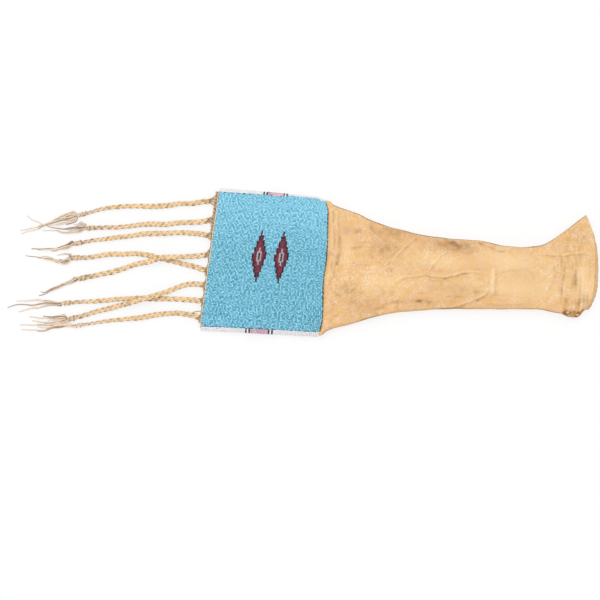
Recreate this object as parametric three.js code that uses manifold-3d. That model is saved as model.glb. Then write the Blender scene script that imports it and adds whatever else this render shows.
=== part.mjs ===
// Pipe bag of tanned hide lying flat: beaded pouch, narrow neck, flared mouth and a braided fringe.
// Millimetres. X runs along the bag toward its mouth, Y across it, Z up from the surface it lies on.
import * as THREE from 'three';
import Module from 'manifold-3d';

// Driving sizes of the bag
const BAG_LENGTH = 467.6;     // bottom seam to the middle of the mouth
const POUCH_LENGTH = 137;     // beaded part
const POUCH_WIDTH = 166;      // hide, edge to edge, under the beads at the neck
const POUCH_FLARE = 5;        // its far edge stands out this much more at the bottom seam
const NECK_WIDTH = 75;        // across the narrow part
const NECK_HEIGHT = 20;       // the hide keeps its round form when empty
const MOUTH_FAR = 81;         // reach of the pointed corner from the middle line
const MOUTH_NEAR = 44;        // reach of the rolled corner from the middle line
const MOUTH_LIP = 6;          // the back layer shows this far past the front one
const MOUTH_SWEEP = 1.42;     // power by which the pointed corner sweeps out of the neck
const CORNER_FAR = 18;        // the pointed corner lies this far back from the middle of the mouth
const CORNER_NEAR = 11;       // and the rolled corner this far
const CORNER_TUCK = 9;        // the rolled corner narrows by this at the mouth
const NECK_ROUND = 0.85;      // share of the half width rounded off on top of the neck
const NECK_ROUND_UNDER = 0.3; // and underneath, where it lies on the surface
const FOLD_HEIGHT = 1.4;      // raised folds of the neck
const FOLD_BREADTH = 5;
const WALL = 1.6;             // tanned hide
const GAP = 0.3;              // clearance between sewn pieces

// Driving sizes of the beadwork
const BEAD = 1.8;             // bead height over the hide
const BEAD_LENGTH = 1.5;      // along its thread
const BEAD_GROOVE = 0.4;      // depth between two bead columns
const COLUMNS = 72;           // bead columns along the pouch
const LEAN = 0.074;           // sideways run of a bead column at the bottom seam, per mm of width
const ROUND_TIGHT = 3.4;      // side roll where the bag is turned away
const ROUND_WIDE = 4.6;       // side roll where it is turned up

// Driving sizes of the fringe
const BRAID = 6.6;            // braid thickness
const KNOT = 7.2;             // knot thickness
const KNOT_LENGTH = 10;
const TAIL = 4.4;             // loose strands below the knot, thickness where they leave it
const STRIP_HEIGHT = 2.4;
const STRIP_BREADTH = 2;      // between two braids
const SEAM = 1.2;             // bare hide between the bottom seam and the first bead column
const REST = 0.2;             // the cords lie this far over the surface

// Places along the bag, whose middle is the origin
const BOTTOM = -BAG_LENGTH / 2;
const MOUTH = BOTTOM + BAG_LENGTH;
const POUCH_START = BOTTOM + SEAM;
const POUCH_END = POUCH_START + POUCH_LENGTH;
const NECK_LENGTH = MOUTH - POUCH_END;
const POUCH_FLOOR = BEAD + GAP;
const COLUMN = POUCH_LENGTH / COLUMNS;

// Shares of the neck's length, from pouch (0) to mouth (1), where its forms begin and end
const SHOULDER = [0, 0.02];         // the pouch's width gives way to the neck's
const UNDERSIDE = [0.012, 0.068];   // the underside comes down to the surface
const ROUNDING = [0, 0.2];          // the pouch's side rolls grow into the round of the neck
const PARTING = [0.72, 1];          // the two layers part toward the mouth
const EAR = [0.775, 1];             // the pointed corner stands out
const TUFT = [0.885, 0.925];        // the rolled corner stands out
const TUCK = [0.955, 1];            // and is drawn in again

const COLORS = {
  hide: 0xd9ac72, cord: 0xd3b083, turquoise: 0x69b4cf, red: 0x7d2238, white: 0xe6e3e4,
  black: 0x22262b, pink: 0xdba0b2,
};

// Half width of the hide as a share of the neck's, and its height, at places from pouch (0) to mouth (1)
const FAR_EDGE = [
  [0.00, 2.147], [0.03, 2.040], [0.06, 1.933], [0.09, 1.860], [0.12, 1.760], [0.15, 1.627],
  [0.21, 1.456], [0.27, 1.328], [0.34, 1.208], [0.39, 1.165], [0.46, 1.130], [0.55, 1.122],
  [0.60, 1.051], [0.64, 0.997], [0.70, 0.981], [0.74, 0.995], [0.78, 1.051],
];
const NEAR_EDGE = [
  [0.00, 2.173], [0.03, 2.048], [0.06, 1.930], [0.09, 1.855], [0.12, 1.755], [0.15, 1.653],
  [0.21, 1.477], [0.27, 1.345], [0.34, 1.255], [0.39, 1.205], [0.46, 1.135], [0.52, 1.099],
  [0.60, 1.075], [0.67, 1.043], [0.73, 1.000], [0.77, 0.984], [0.80, 0.992], [0.86, 1.061], [0.885, 1.085],
];
const HEIGHT = [
  [0.00, 0.72], [0.06, 0.78], [0.15, 0.90], [0.30, 1.00], [0.70, 1.00], [0.82, 0.92], [1.00, 0.70],
];
const POUCH_HEIGHT = [[0, 0.30], [0.1, 0.44], [0.25, 0.60], [0.45, 0.69], [0.7, 0.72], [1, 0.72]];

// Raised folds: two ends, each by its share of the neck's length and of its half width
const FOLDS = [
  [[0.038, 1.55], [0.038, -1.44]],
  [[0.215, -0.03], [0.283, 0.64]],
  [[0.387, 0.00], [0.439, 0.64]],
  [[0.280, -0.33], [0.369, -0.10]],
  [[0.369, -0.10], [0.547, 0.02]],
  [[0.611, 0.17], [0.614, -0.58]],
  [[0.467, -0.92], [0.611, -0.64]],
  [[0.553, 0.90], [0.663, 0.75]],
  [[0.817, 0.75], [0.930, 0.89]],
];

// Fringe braids, far side to near side: places from the middle of the bottom seam, with a third value, in
// braid thicknesses, where a braid climbs over its neighbour
const FRINGE = [
  {
    braid: [[-5, 73], [-13, 72], [-27, 69], [-41, 68], [-56, 65], [-70, 63.5], [-84, 63],
      [-99, 62], [-113, 60.5], [-128, 58], [-142, 53.5], [-151, 50.5]],
    tail: [[-176, 42.5], [-187, 38], [-198, 33.5], [-213, 28.5], [-228, 26.5]],
  },
  {
    braid: [[-5, 49.5], [-12, 47.5], [-26, 46], [-40, 44.5], [-55, 42], [-69, 41.5],
      [-83, 40.5], [-98, 37.5], [-112, 35.5], [-126, 34.5], [-140, 33]],
    tail: [[-162, 31.5], [-176, 28.5], [-191, 27], [-205, 24], [-224, 21]],
  },
  {
    braid: [[-5, 31.5], [-11, 32.5], [-25, 33], [-39, 32.5], [-54, 31], [-68, 30],
      [-82, 28.5], [-96, 25.5], [-111, 23], [-125, 20.5], [-139, 18], [-154, 14.5]],
    tail: [[-177, 7], [-187, 4.5], [-199, 4], [-213, 4.5]],
  },
  {
    braid: [[-5, 7.5], [-16, 5.5, 0.06], [-30, 3.5, 0.38], [-44, 2, 1.03], [-59, -0.5, 1.1],
      [-73, -5, 0.44], [-87, -8.5, 0.06], [-101, -14], [-115, -19.5], [-129, -23], [-146, -27.5]],
    tail: [[-169, -35], [-179, -39.5], [-188, -43.5], [-200, -49.5]],
  },
  {
    braid: [[-5, -11], [-15, -8], [-29, -5], [-44, -2], [-59, 0.5], [-73, 3.5], [-88, 4.5],
      [-102, 3], [-117, 2], [-131, -0.5], [-145, -3.5], [-155, -4.5]],
    tail: [[-174, -7], [-186, -7.5], [-198, -6.5], [-210, -6.5], [-221, -5]],
  },
  {
    braid: [[-6, -29], [-14, -28.5], [-24, -29.5], [-35, -33.5, 0.06], [-49, -40.5, 0.53],
      [-63, -47, 1.1], [-77, -51.5, 1.12], [-91, -56.5, 0.72], [-105, -60, 0.1], [-119, -64.5],
      [-133, -69], [-147, -74], [-154, -76.5]],
    tail: [[-178, -82], [-190, -83.5], [-202, -81], [-214, -87]],
  },
  {
    braid: [[-7, -48.5], [-20, -48], [-34, -48], [-48, -48.5], [-63, -49], [-77, -49.5],
      [-91, -50.5], [-106, -52], [-120, -54], [-134, -56], [-148, -57.5], [-163, -59.5]],
    tail: [[-187, -62.5], [-198, -65.5], [-210, -65.5], [-222, -64.5]],
  },
  {
    braid: [[-8.5, -68.5], [-16, -66.5], [-30, -65], [-45, -66], [-59, -68], [-73, -71.5],
      [-87, -74], [-102, -76.5], [-116, -78.5], [-132, -82], [-145, -85]],
    tail: [[-175, -89], [-187, -90.5], [-199, -92.5], [-214, -94.5]],
  },
];

// Side lane colours from the bottom seam to the neck, each with the bead column where it ends
const FAR_LANE = [
  ['white', 28], ['black', 29], ['white', 30], ['black', 31], ['pink', 41],
  ['black', 42], ['white', 43], ['black', 44], ['white', COLUMNS],
];
const NEAR_LANE = [
  ['white', 28], ['black', 29], ['white', 30], ['black', 31], ['pink', 42],
  ['black', 43], ['white', 44], ['black', 45], ['white', COLUMNS],
];

// Stepped diamond: half height in beads of each column, from the middle column outward
const DIAMOND_RED = [21, 17, 13, 8, 3];
const DIAMOND_WHITE = [7, 4];
const DIAMOND_BLACK = [3];
const DIAMOND_COLUMNS = [30, 44];   // the column each diamond stands on
const DIAMOND_MIDDLE = 7.5;         // its middle, off the middle line of the bag
const DIAMOND_RISE = 0.3;           // each of its columns stands this much further across than the last

const kit = await Module();
kit.setup();

// A smooth curve through points of rising x: the returned function gives y at any x
function smoothThrough(points) {
  const slope = (i) => {
    const a = points[Math.max(i - 1, 0)];
    const b = points[Math.min(i + 1, points.length - 1)];
    return (b[1] - a[1]) / (b[0] - a[0]);
  };
  return (x) => {
    const inside = THREE.MathUtils.clamp(x, points[0][0], points.at(-1)[0]);
    let i = 0;
    while (i < points.length - 2 && inside > points[i + 1][0]) i += 1;
    const span = points[i + 1][0] - points[i][0];
    const s = (inside - points[i][0]) / span;
    const rise = points[i + 1][1] - points[i][1];
    const start = slope(i) * span;
    const end = slope(i + 1) * span;
    return points[i][1] + s * (start + s * (3 * rise - 2 * start - end + s * (start + end - 2 * rise)));
  };
}

const spread = (from, to, steps) => (
  Array.from({ length: steps + 1 }, (_, i) => from + ((to - from) * i) / steps)
);
const rise = ([from, to], x) => THREE.MathUtils.smoothstep(x, from, to);
const clampShare = (share) => THREE.MathUtils.clamp(share, 0, 1);
const farShare = smoothThrough(FAR_EDGE);
const nearShare = smoothThrough(NEAR_EDGE);
const neckHeight = smoothThrough(HEIGHT);
const pouchHeight = smoothThrough(POUCH_HEIGHT);
const alongNeck = (x) => (x - POUCH_END) / NECK_LENGTH;
const alongPouch = (x) => (x - POUCH_START) / POUCH_LENGTH;

// Sideways run of the bag's cross lines, which lean at the bottom seam and square up at the neck
const leanAt = (x) => LEAN * (1 - clampShare(alongPouch(x)) ** 4);

// Height of the hide's flat top over the surface it lies on
function topAt(x) {
  const share = x < POUCH_END ? pouchHeight(alongPouch(x)) : neckHeight(alongNeck(x));
  return NECK_HEIGHT * share;
}

// Height of the hide's underside, lifted by the beads under the pouch
const floorAt = (x) => POUCH_FLOOR * (1 - rise(UNDERSIDE, alongNeck(x)));

// Reach of the hide to the far side and to the near side of the middle line
function farAt(x) {
  const s = alongNeck(x);
  const neck = (NECK_WIDTH / 2) * farShare(s);
  const pouch = POUCH_WIDTH / 2 + POUCH_FLARE * (1 - clampShare(alongPouch(x)));
  const ear = (MOUTH_FAR - neck) * clampShare((s - EAR[0]) / (EAR[1] - EAR[0])) ** MOUTH_SWEEP;
  return THREE.MathUtils.lerp(pouch, neck + ear, rise(SHOULDER, s));
}

function nearAt(x) {
  const s = alongNeck(x);
  const neck = (NECK_WIDTH / 2) * nearShare(s);
  const pouch = POUCH_WIDTH / 2;
  const roll = (MOUTH_NEAR - neck) * rise(TUFT, s) - CORNER_TUCK * rise(TUCK, s);
  return THREE.MathUtils.lerp(pouch, neck + roll, rise(SHOULDER, s));
}

// Width of the side roll: tight and wide rolls sit across from each other on the pouch
function rollAt(x, side, top) {
  const reach = side > 0 ? farAt(x) : nearAt(x);
  const onPouch = (side > 0) === top ? ROUND_TIGHT : ROUND_WIDE;
  const onNeck = reach * (top ? NECK_ROUND : NECK_ROUND_UNDER);
  return THREE.MathUtils.lerp(onPouch, onNeck, rise(ROUNDING, alongNeck(x)));
}

// Height added by the folds at a place on the top of the hide
function foldAt(x, y) {
  const place = ([along, across]) => new THREE.Vector3(
    POUCH_END + along * NECK_LENGTH, (across * NECK_WIDTH) / 2, 0,
  );
  const here = new THREE.Vector3(x, y, 0);
  return FOLDS.reduce((sum, [from, to]) => {
    const line = new THREE.Line3(place(from), place(to));
    const nearest = line.closestPointToPoint(here, true, new THREE.Vector3());
    return sum + FOLD_HEIGHT * Math.exp(-((nearest.distanceTo(here) / FOLD_BREADTH) ** 2));
  }, 0);
}

// One point of the hide: place along the bag, share of its reach across, top or underside, inset from outside
function hidePoint(x, share, top, inset) {
  const side = share < 0 ? -1 : 1;
  const reach = (side > 0 ? farAt(x) : nearAt(x)) - inset;
  const low = floorAt(x) + inset;
  const high = topAt(x) - inset;
  const middle = (low + high) / 2;
  const roll = Math.min(Math.max(rollAt(x, side, top) - inset, 1), reach);
  const past = Math.max(0, (Math.abs(share) * reach - (reach - roll)) / roll);
  const bulge = Math.sqrt(Math.max(0, 1 - past ** 2));
  const y = share * reach;
  const open = rise(PARTING, alongNeck(x));
  const corner = share > 0 ? CORNER_FAR * share ** 3 : CORNER_NEAR * share ** 2;
  const lip = top ? MOUTH_LIP * (1 - share ** 2) : 0;
  const along = x + leanAt(x) * y - open * (corner + lip);
  const fold = top && inset === 0 ? foldAt(along, y) * bulge : 0;
  const height = top ? middle + (high - middle) * bulge + fold : middle - (middle - low) * bulge;
  return new THREE.Vector3(along, y, height);
}

// A closed line round the bag at one place along it
function hideRing(x, inset) {
  const topSteps = 24;
  const underSteps = 12;
  const ring = [];
  for (let i = 0; i < topSteps; i += 1) {
    ring.push(hidePoint(x, Math.cos((Math.PI * i) / topSteps), true, inset));
  }
  for (let i = 0; i < underSteps; i += 1) {
    ring.push(hidePoint(x, -Math.cos((Math.PI * i) / underSteps), false, inset));
  }
  return ring;
}

// Closed body through rings of equal count that turn the right-hand way about their line of travel. Its ends
// are closed from a middle point, from edge to edge where a ring bends back on itself, or on each other.
function skin(rings, ends = 'middle') {
  const count = rings[0].length;
  const points = rings.flat();
  const faces = [];
  for (let i = 0; i < rings.length - 1; i += 1) {
    for (let j = 0; j < count; j += 1) {
      const a = i * count + j;
      const b = i * count + ((j + 1) % count);
      faces.push(a, b, b + count, a, b + count, a + count);
    }
  }
  const last = (rings.length - 1) * count;
  if (ends === 'joined') {
    for (let j = 0; j < count; j += 1) {
      const next = (j + 1) % count;
      faces.push(last + j, last + next, next, last + j, next, j);
    }
  } else if (ends === 'edges') {
    for (let j = 0; j < count / 2 - 1; j += 1) {
      const across = count - 1 - j;
      faces.push(j, across - 1, j + 1, j, across, across - 1);
      faces.push(last + j, last + j + 1, last + across - 1, last + j, last + across - 1, last + across);
    }
  } else {
    const middle = (ring) => ring.reduce((sum, p) => sum.add(p), new THREE.Vector3()).divideScalar(count);
    points.push(middle(rings[0]), middle(rings.at(-1)));
    for (let j = 0; j < count; j += 1) {
      const next = (j + 1) % count;
      faces.push(points.length - 2, next, j, points.length - 1, last + j, last + next);
    }
  }
  const geometry = new THREE.BufferGeometry().setFromPoints(points);
  geometry.setIndex(faces);
  return geometry;
}

// Places where the pouch is drawn, closer together at the bottom seam where its height changes most
const pouchPlace = (share) => BOTTOM + share * (POUCH_END - BOTTOM);
const POUCH_PLACES = [...spread(0, 0.13, 4), ...spread(0.22, 0.94, 6)].map(pouchPlace);

// Hollow lower part of the hide, closed at the bottom seam: out along the outside, back along the inside
function hidePouch() {
  const outside = [...POUCH_PLACES, POUCH_END].map((x) => hideRing(x, 0));
  const inside = spread(1, 0.06, 5).map((share) => hideRing(pouchPlace(share), WALL));
  return skin([...outside, ...inside]);
}

// Neck and mouth, open at both ends
function hideNeck() {
  const start = POUCH_END + GAP;
  const outside = spread(start, MOUTH, 44).map((x) => hideRing(x, 0));
  const inside = spread(MOUTH, start, 16).map((x) => hideRing(x, WALL));
  return skin([...outside, ...inside], 'joined');
}

const columnX = (column, y) => {
  const x = POUCH_START + column * COLUMN;
  return x + leanAt(x) * y;
};

// Bead panel with one ridge per bead column, on the flat of the pouch
function ridgedPanel(farEdge, nearEdge, baseAt, faceAt) {
  const edgeRing = (column) => {
    const x = POUCH_START + column * COLUMN;
    const ridge = column % 1 === 0 ? BEAD_GROOVE : 0;
    const base = baseAt(x);
    const face = faceAt(x) - Math.sign(faceAt(x) - base) * ridge;
    const low = Math.min(base, face);
    const high = Math.max(base, face);
    const far = farEdge(x);
    const near = nearEdge(x);
    return [
      new THREE.Vector3(columnX(column, far), far, low),
      new THREE.Vector3(columnX(column, far), far, high),
      new THREE.Vector3(columnX(column, near), near, high),
      new THREE.Vector3(columnX(column, near), near, low),
    ];
  };
  return skin(spread(0, COLUMNS, COLUMNS * 2).map(edgeRing));
}

const panelBase = (x) => topAt(x) + GAP;
const panelFace = (x) => topAt(x) + GAP + BEAD;

// Panel edges, inside a side roll of the given width
const panelFar = (roll) => (x) => farAt(x) - roll - GAP;
const panelNear = (roll) => (x) => roll + GAP - nearAt(x);

// Stepped outline about a bead column, grown by the clearance where a pocket is wanted
function steppedShape(column, halves, grow) {
  const reach = halves.length - 1;
  const columns = Array.from({ length: 2 * reach + 1 }, (_, i) => i - reach);
  const columnEnds = (end) => columns.flatMap((index) => {
    const half = halves[Math.abs(index)] * BEAD_LENGTH + grow;
    const y = DIAMOND_MIDDLE + index * DIAMOND_RISE + end * half;
    return [0, 1].map((edge) => {
      const outward = Math.sign(index + edge - 0.5);
      return new THREE.Vector2(columnX(column + index + edge, y) + outward * grow, y);
    });
  });
  return new THREE.Shape([...columnEnds(-1), ...columnEnds(1).reverse()]);
}

// Upright block over an outline, from one height to another
function block(shape, from, to) {
  const geometry = new THREE.ExtrudeGeometry(shape, { depth: to - from, bevelEnabled: false });
  return geometry.translate(0, 0, from);
}

function toSolid(geometry) {
  const flat = geometry.index ? geometry.toNonIndexed() : geometry;
  const mesh = new kit.Mesh({
    numProp: 3,
    vertProperties: new Float32Array(flat.getAttribute('position').array),
    triVerts: Uint32Array.from({ length: flat.getAttribute('position').count }, (_, i) => i),
  });
  mesh.merge();
  return new kit.Manifold(mesh);
}

function fromSolid(solid) {
  const mesh = solid.getMesh();
  const geometry = new THREE.BufferGeometry();
  geometry.setAttribute('position', new THREE.BufferAttribute(new Float32Array(mesh.vertProperties), 3));
  geometry.setIndex(new THREE.BufferAttribute(new Uint32Array(mesh.triVerts), 1));
  return geometry;
}

// Front panel with a pocket for each diamond
function frontPanel() {
  const panel = toSolid(ridgedPanel(panelFar(ROUND_TIGHT), panelNear(ROUND_WIDE), panelBase, panelFace));
  const pockets = DIAMOND_COLUMNS.map((column) => (
    toSolid(block(steppedShape(column, DIAMOND_RED, GAP), 0, NECK_HEIGHT + BEAD))
  ));
  return fromSolid(pockets.reduce((rest, pocket) => rest.subtract(pocket), panel));
}

const backPanel = () => ridgedPanel(panelFar(ROUND_WIDE), panelNear(ROUND_TIGHT), () => BEAD, () => 0);

// One colour of a diamond, with the next colour inside it left out
function diamondField(column, halves, inner) {
  const shape = steppedShape(column, halves, 0);
  if (inner) shape.holes.push(steppedShape(column, inner, GAP));
  const base = panelBase(columnX(column + DIAMOND_RED.length, 0));
  return block(shape, base, base + BEAD);
}

// One colour of a side lane, wrapped from the front panel round to the back panel
function laneField(side, from, to) {
  const arcSteps = 8;
  const ring = (x) => {
    const reach = side > 0 ? farAt(x) : nearAt(x);
    const low = floorAt(x);
    const high = topAt(x);
    const middle = (low + high) / 2;
    const arc = (offset) => Array.from({ length: arcSteps + 1 }, (_, i) => {
      const angle = Math.PI * (i / arcSteps - 0.5);
      const top = angle >= 0;
      const roll = rollAt(BOTTOM, side, top);
      const y = side * (reach - roll + (roll + offset) * Math.cos(angle));
      const half = (top ? high - middle : middle - low) + offset;
      return new THREE.Vector3(x + leanAt(x) * y, y, middle + half * Math.sin(angle));
    });
    const points = [...arc(GAP + BEAD), ...arc(GAP).reverse()];
    return side > 0 ? points : points.reverse();
  };
  const between = POUCH_PLACES.filter((x) => x > from + GAP && x < to - GAP);
  return skin([from, ...between, to].map(ring), 'edges');
}

// Strip the fringe is cut from, with a point reaching out to each braid
function fringeStrip() {
  const far = farAt(BOTTOM) - STRIP_BREADTH;
  const near = STRIP_BREADTH - nearAt(BOTTOM);
  const seamX = (y) => LEAN * y - GAP;
  const shape = new THREE.Shape();
  shape.moveTo(seamX(far), far);
  shape.lineTo(seamX(far) - STRIP_BREADTH, far);
  let last = far;
  FRINGE.forEach(({ braid }) => {
    const line = braidLine(braid);
    const heading = line.getTangent(0);
    const tip = line.getPoint(0).addScaledVector(heading, -GAP);
    const aside = new THREE.Vector3(heading.y, -heading.x, 0).multiplyScalar(BRAID / 2);
    const turn = (last + tip.y + aside.y) / 2;
    shape.quadraticCurveTo(seamX(turn) - STRIP_BREADTH, turn, tip.x + aside.x, tip.y + aside.y);
    shape.lineTo(tip.x - aside.x, tip.y - aside.y);
    last = tip.y - aside.y;
  });
  const turn = (last + near) / 2;
  shape.quadraticCurveTo(seamX(turn) - STRIP_BREADTH, turn, seamX(near) - STRIP_BREADTH, near);
  shape.lineTo(seamX(near), near);
  return new THREE.ExtrudeGeometry(shape, { depth: STRIP_HEIGHT, bevelEnabled: false, curveSegments: 6 })
    .translate(0, 0, BRAID / 2 - STRIP_HEIGHT / 2);
}

const braidLine = (points) => new THREE.CatmullRomCurve3(
  points.map(([x, y, climb = 0]) => new THREE.Vector3(x, y, BRAID * (climb + 0.5) + REST)),
);

function roundShape(radius, sides) {
  const points = spread(0, 1, sides).slice(0, -1).map((s) => (
    new THREE.Vector2(radius * Math.cos(2 * Math.PI * s), radius * Math.sin(2 * Math.PI * s))
  ));
  return new THREE.Shape(points);
}

function braidTube(points) {
  return new THREE.ExtrudeGeometry(roundShape(BRAID / 2, 8), {
    extrudePath: braidLine(points), steps: points.length * 2, bevelEnabled: false,
  });
}

// Where a braid ends and which way it points there
function braidEnd(points) {
  const line = braidLine(points);
  const heading = line.getTangent(1).setZ(0).normalize();
  return { place: line.getPoint(1), heading };
}

function knotBarrel() {
  const half = KNOT / 2;
  const profile = [[0, 0], [half * 0.6, 0], [half, KNOT_LENGTH / 4], [half, KNOT_LENGTH * 0.75],
    [half * 0.55, KNOT_LENGTH], [0, KNOT_LENGTH]];
  return new THREE.LatheGeometry(profile.map(([r, y]) => new THREE.Vector2(r, y)), 8);
}

// Loose strands as one tapered bundle that comes down to the surface and thins out
function tailBundle(start, heading, points) {
  const straight = start.clone().addScaledVector(heading, TAIL * 0.7);
  const route = [start, straight, ...points.map(([x, y], i) => {
    const half = (TAIL / 2) * (0.62 - 0.1 * i);
    return new THREE.Vector3(x, y, Math.max(half, TAIL / 9) + REST);
  })];
  const line = new THREE.CatmullRomCurve3(route);
  const sides = 6;
  const rings = spread(0, 1, points.length * 2).map((s) => {
    const middle = line.getPoint(s);
    const ahead = line.getTangent(s);
    const across = new THREE.Vector3(-ahead.y, ahead.x, 0).normalize();
    const upward = new THREE.Vector3().crossVectors(ahead, across);
    const broad = (TAIL / 2) * (1 - 0.75 * s);
    const thick = broad * (0.85 - 0.3 * s);
    return Array.from({ length: sides }, (_, j) => {
      const turn = (2 * Math.PI * j) / sides;
      return middle.clone().addScaledVector(across, broad * Math.cos(turn))
        .addScaledVector(upward, thick * Math.sin(turn));
    });
  });
  return skin(rings);
}

function piece(name, geometry, color) {
  const material = new THREE.MeshStandardMaterial({ color: COLORS[color], roughness: 0.8 });
  const mesh = new THREE.Mesh(geometry, material);
  mesh.name = name;
  return mesh;
}

function beadwork() {
  const group = new THREE.Group();
  group.add(piece('front_bead_panel', frontPanel(), 'turquoise'));
  group.add(piece('back_bead_panel', backPanel(), 'turquoise'));
  DIAMOND_COLUMNS.forEach((column, i) => {
    const name = `diamond_${i + 1}`;
    group.add(piece(`${name}_red`, diamondField(column, DIAMOND_RED, DIAMOND_WHITE), 'red'));
    group.add(piece(`${name}_white`, diamondField(column, DIAMOND_WHITE, DIAMOND_BLACK), 'white'));
    group.add(piece(`${name}_black`, diamondField(column, DIAMOND_BLACK, null), 'black'));
  });
  [['far', 1, FAR_LANE], ['near', -1, NEAR_LANE]].forEach(([name, side, lane]) => {
    let start = POUCH_START;
    lane.forEach(([color, column], i) => {
      const end = POUCH_START + column * COLUMN;
      group.add(piece(`${name}_lane_${i + 1}_${color}`, laneField(side, start, end - GAP), color));
      start = end;
    });
  });
  return group;
}

function fringe() {
  const group = new THREE.Group();
  FRINGE.forEach(({ braid, tail }, i) => {
    const { place, heading } = braidEnd(braid);
    const knot = piece(`fringe_knot_${i + 1}`, knotBarrel(), 'cord');
    knot.quaternion.setFromUnitVectors(new THREE.Vector3(0, 1, 0), heading);
    knot.position.copy(place).addScaledVector(heading, GAP);
    knot.position.z = KNOT / 2 + REST;
    const tailStart = knot.position.clone().addScaledVector(heading, KNOT_LENGTH + GAP);
    tailStart.z = KNOT / 2;
    group.add(piece(`fringe_braid_${i + 1}`, braidTube(braid), 'cord'));
    group.add(knot);
    group.add(piece(`fringe_tail_${i + 1}`, tailBundle(tailStart, heading, tail), 'cord'));
  });
  return group;
}

// The whole bag, moved so that its middle, without the hanging fringe, stands on the origin
function pipeBag() {
  const bag = new THREE.Group();
  bag.name = 'pipe_bag';
  const strip = piece('fringe_strip', fringeStrip(), 'hide');
  const cords = fringe();
  strip.position.x = BOTTOM;
  cords.position.x = BOTTOM;
  bag.add(piece('hide_pouch', hidePouch(), 'hide'));
  bag.add(piece('hide_neck', hideNeck(), 'hide'));
  bag.add(strip, beadwork());
  const middle = new THREE.Box3().setFromObject(bag).getCenter(new THREE.Vector3());
  bag.add(cords);
  bag.position.set(-middle.x, -middle.y, 0);
  return bag;
}

export default pipeBag();
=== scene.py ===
"""A beaded hide pipe bag with a plaited fringe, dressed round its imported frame.

Laid out as an add-on and run as a script. The shape functions work in millimetres of the bag's own
drawing, X along the bag toward its mouth, Y across it and Z up; pieces are made in metres of the frame.
"""

import math

import bpy
import numpy as np
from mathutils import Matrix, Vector, noise


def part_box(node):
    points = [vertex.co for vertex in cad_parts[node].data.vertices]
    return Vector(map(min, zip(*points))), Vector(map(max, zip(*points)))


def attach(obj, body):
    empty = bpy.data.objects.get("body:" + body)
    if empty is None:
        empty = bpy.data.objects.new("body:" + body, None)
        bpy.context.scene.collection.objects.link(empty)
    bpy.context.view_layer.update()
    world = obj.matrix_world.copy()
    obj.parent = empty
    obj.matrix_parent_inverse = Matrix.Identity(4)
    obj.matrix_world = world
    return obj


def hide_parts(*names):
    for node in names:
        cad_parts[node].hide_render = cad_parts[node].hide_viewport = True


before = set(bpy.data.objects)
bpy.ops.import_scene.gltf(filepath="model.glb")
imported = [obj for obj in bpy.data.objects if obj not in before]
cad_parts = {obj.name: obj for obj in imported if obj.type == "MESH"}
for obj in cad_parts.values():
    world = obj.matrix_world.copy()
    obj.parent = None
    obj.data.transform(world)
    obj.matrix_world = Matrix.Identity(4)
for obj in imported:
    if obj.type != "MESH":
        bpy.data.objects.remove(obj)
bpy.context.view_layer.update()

bl_info = {
    "name": "Pipe bag",
    "version": (1, 0, 0),
    "blender": (4, 5, 0),
    "location": "3D View > Sidebar > Pipe bag",
    "description": "Builds a beaded hide pipe bag with a plaited fringe round its frame",
    "category": "Object",
}

MM = 0.001
UP = np.array((0.0, 0.0, 1.0))
ALONG = np.array((1.0, 0.0, 0.0))

# Sizes that the solids share: lengths in millimetres, and shares and a count of bead columns
BAG_LENGTH = 467.6
POUCH_LENGTH = 137.0
POUCH_WIDTH = 166.0
POUCH_FLARE = 5.0
NECK_WIDTH = 75.0
NECK_HEIGHT = 20.0
NECK_ROUND = 0.85
NECK_ROUND_UNDER = 0.3
MOUTH_FAR = 81.0
MOUTH_NEAR = 44.0
MOUTH_LIP = 6.0
CORNER_FAR = 18.0
CORNER_NEAR = 11.0
CORNER_TUCK = 9.0
MOUTH_SWEEP = 1.42
WALL = 1.6
GAP = 0.3
BEAD = 1.8
BEAD_ROW = 1.5
COLUMNS = 72
LEAN = 0.074
ROUND_TIGHT = 3.4
ROUND_WIDE = 4.6
BRAID = 6.6
KNOT_LENGTH = 10.0
SEAM = 1.2
REST = 0.2

# Places along the bag, from the bottom seam on, and the way from the drawing's origin to the frame's
BOTTOM = -230.4
MOUTH = BOTTOM + BAG_LENGTH
POUCH_START = BOTTOM + SEAM
POUCH_END = POUCH_START + POUCH_LENGTH
NECK_LENGTH = MOUTH - POUCH_END
COLUMN = POUCH_LENGTH / COLUMNS
SHIFT = np.array((
    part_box("hide_neck")[1].x / MM - MOUTH,
    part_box("hide_pouch")[1].y / MM - POUCH_WIDTH / 2 - POUCH_FLARE,
    0.0))

# Shares of the neck's length, from pouch (0) to mouth (1), where its forms begin and end
SHOULDER = (0.0, 0.02)
UNDERSIDE = (0.012, 0.068)
ROUNDING = (0.0, 0.2)
PARTING = (0.72, 1.0)
EAR = (0.775, 1.0)
TUFT = (0.885, 0.925)
TUCK = (0.955, 1.0)

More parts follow.
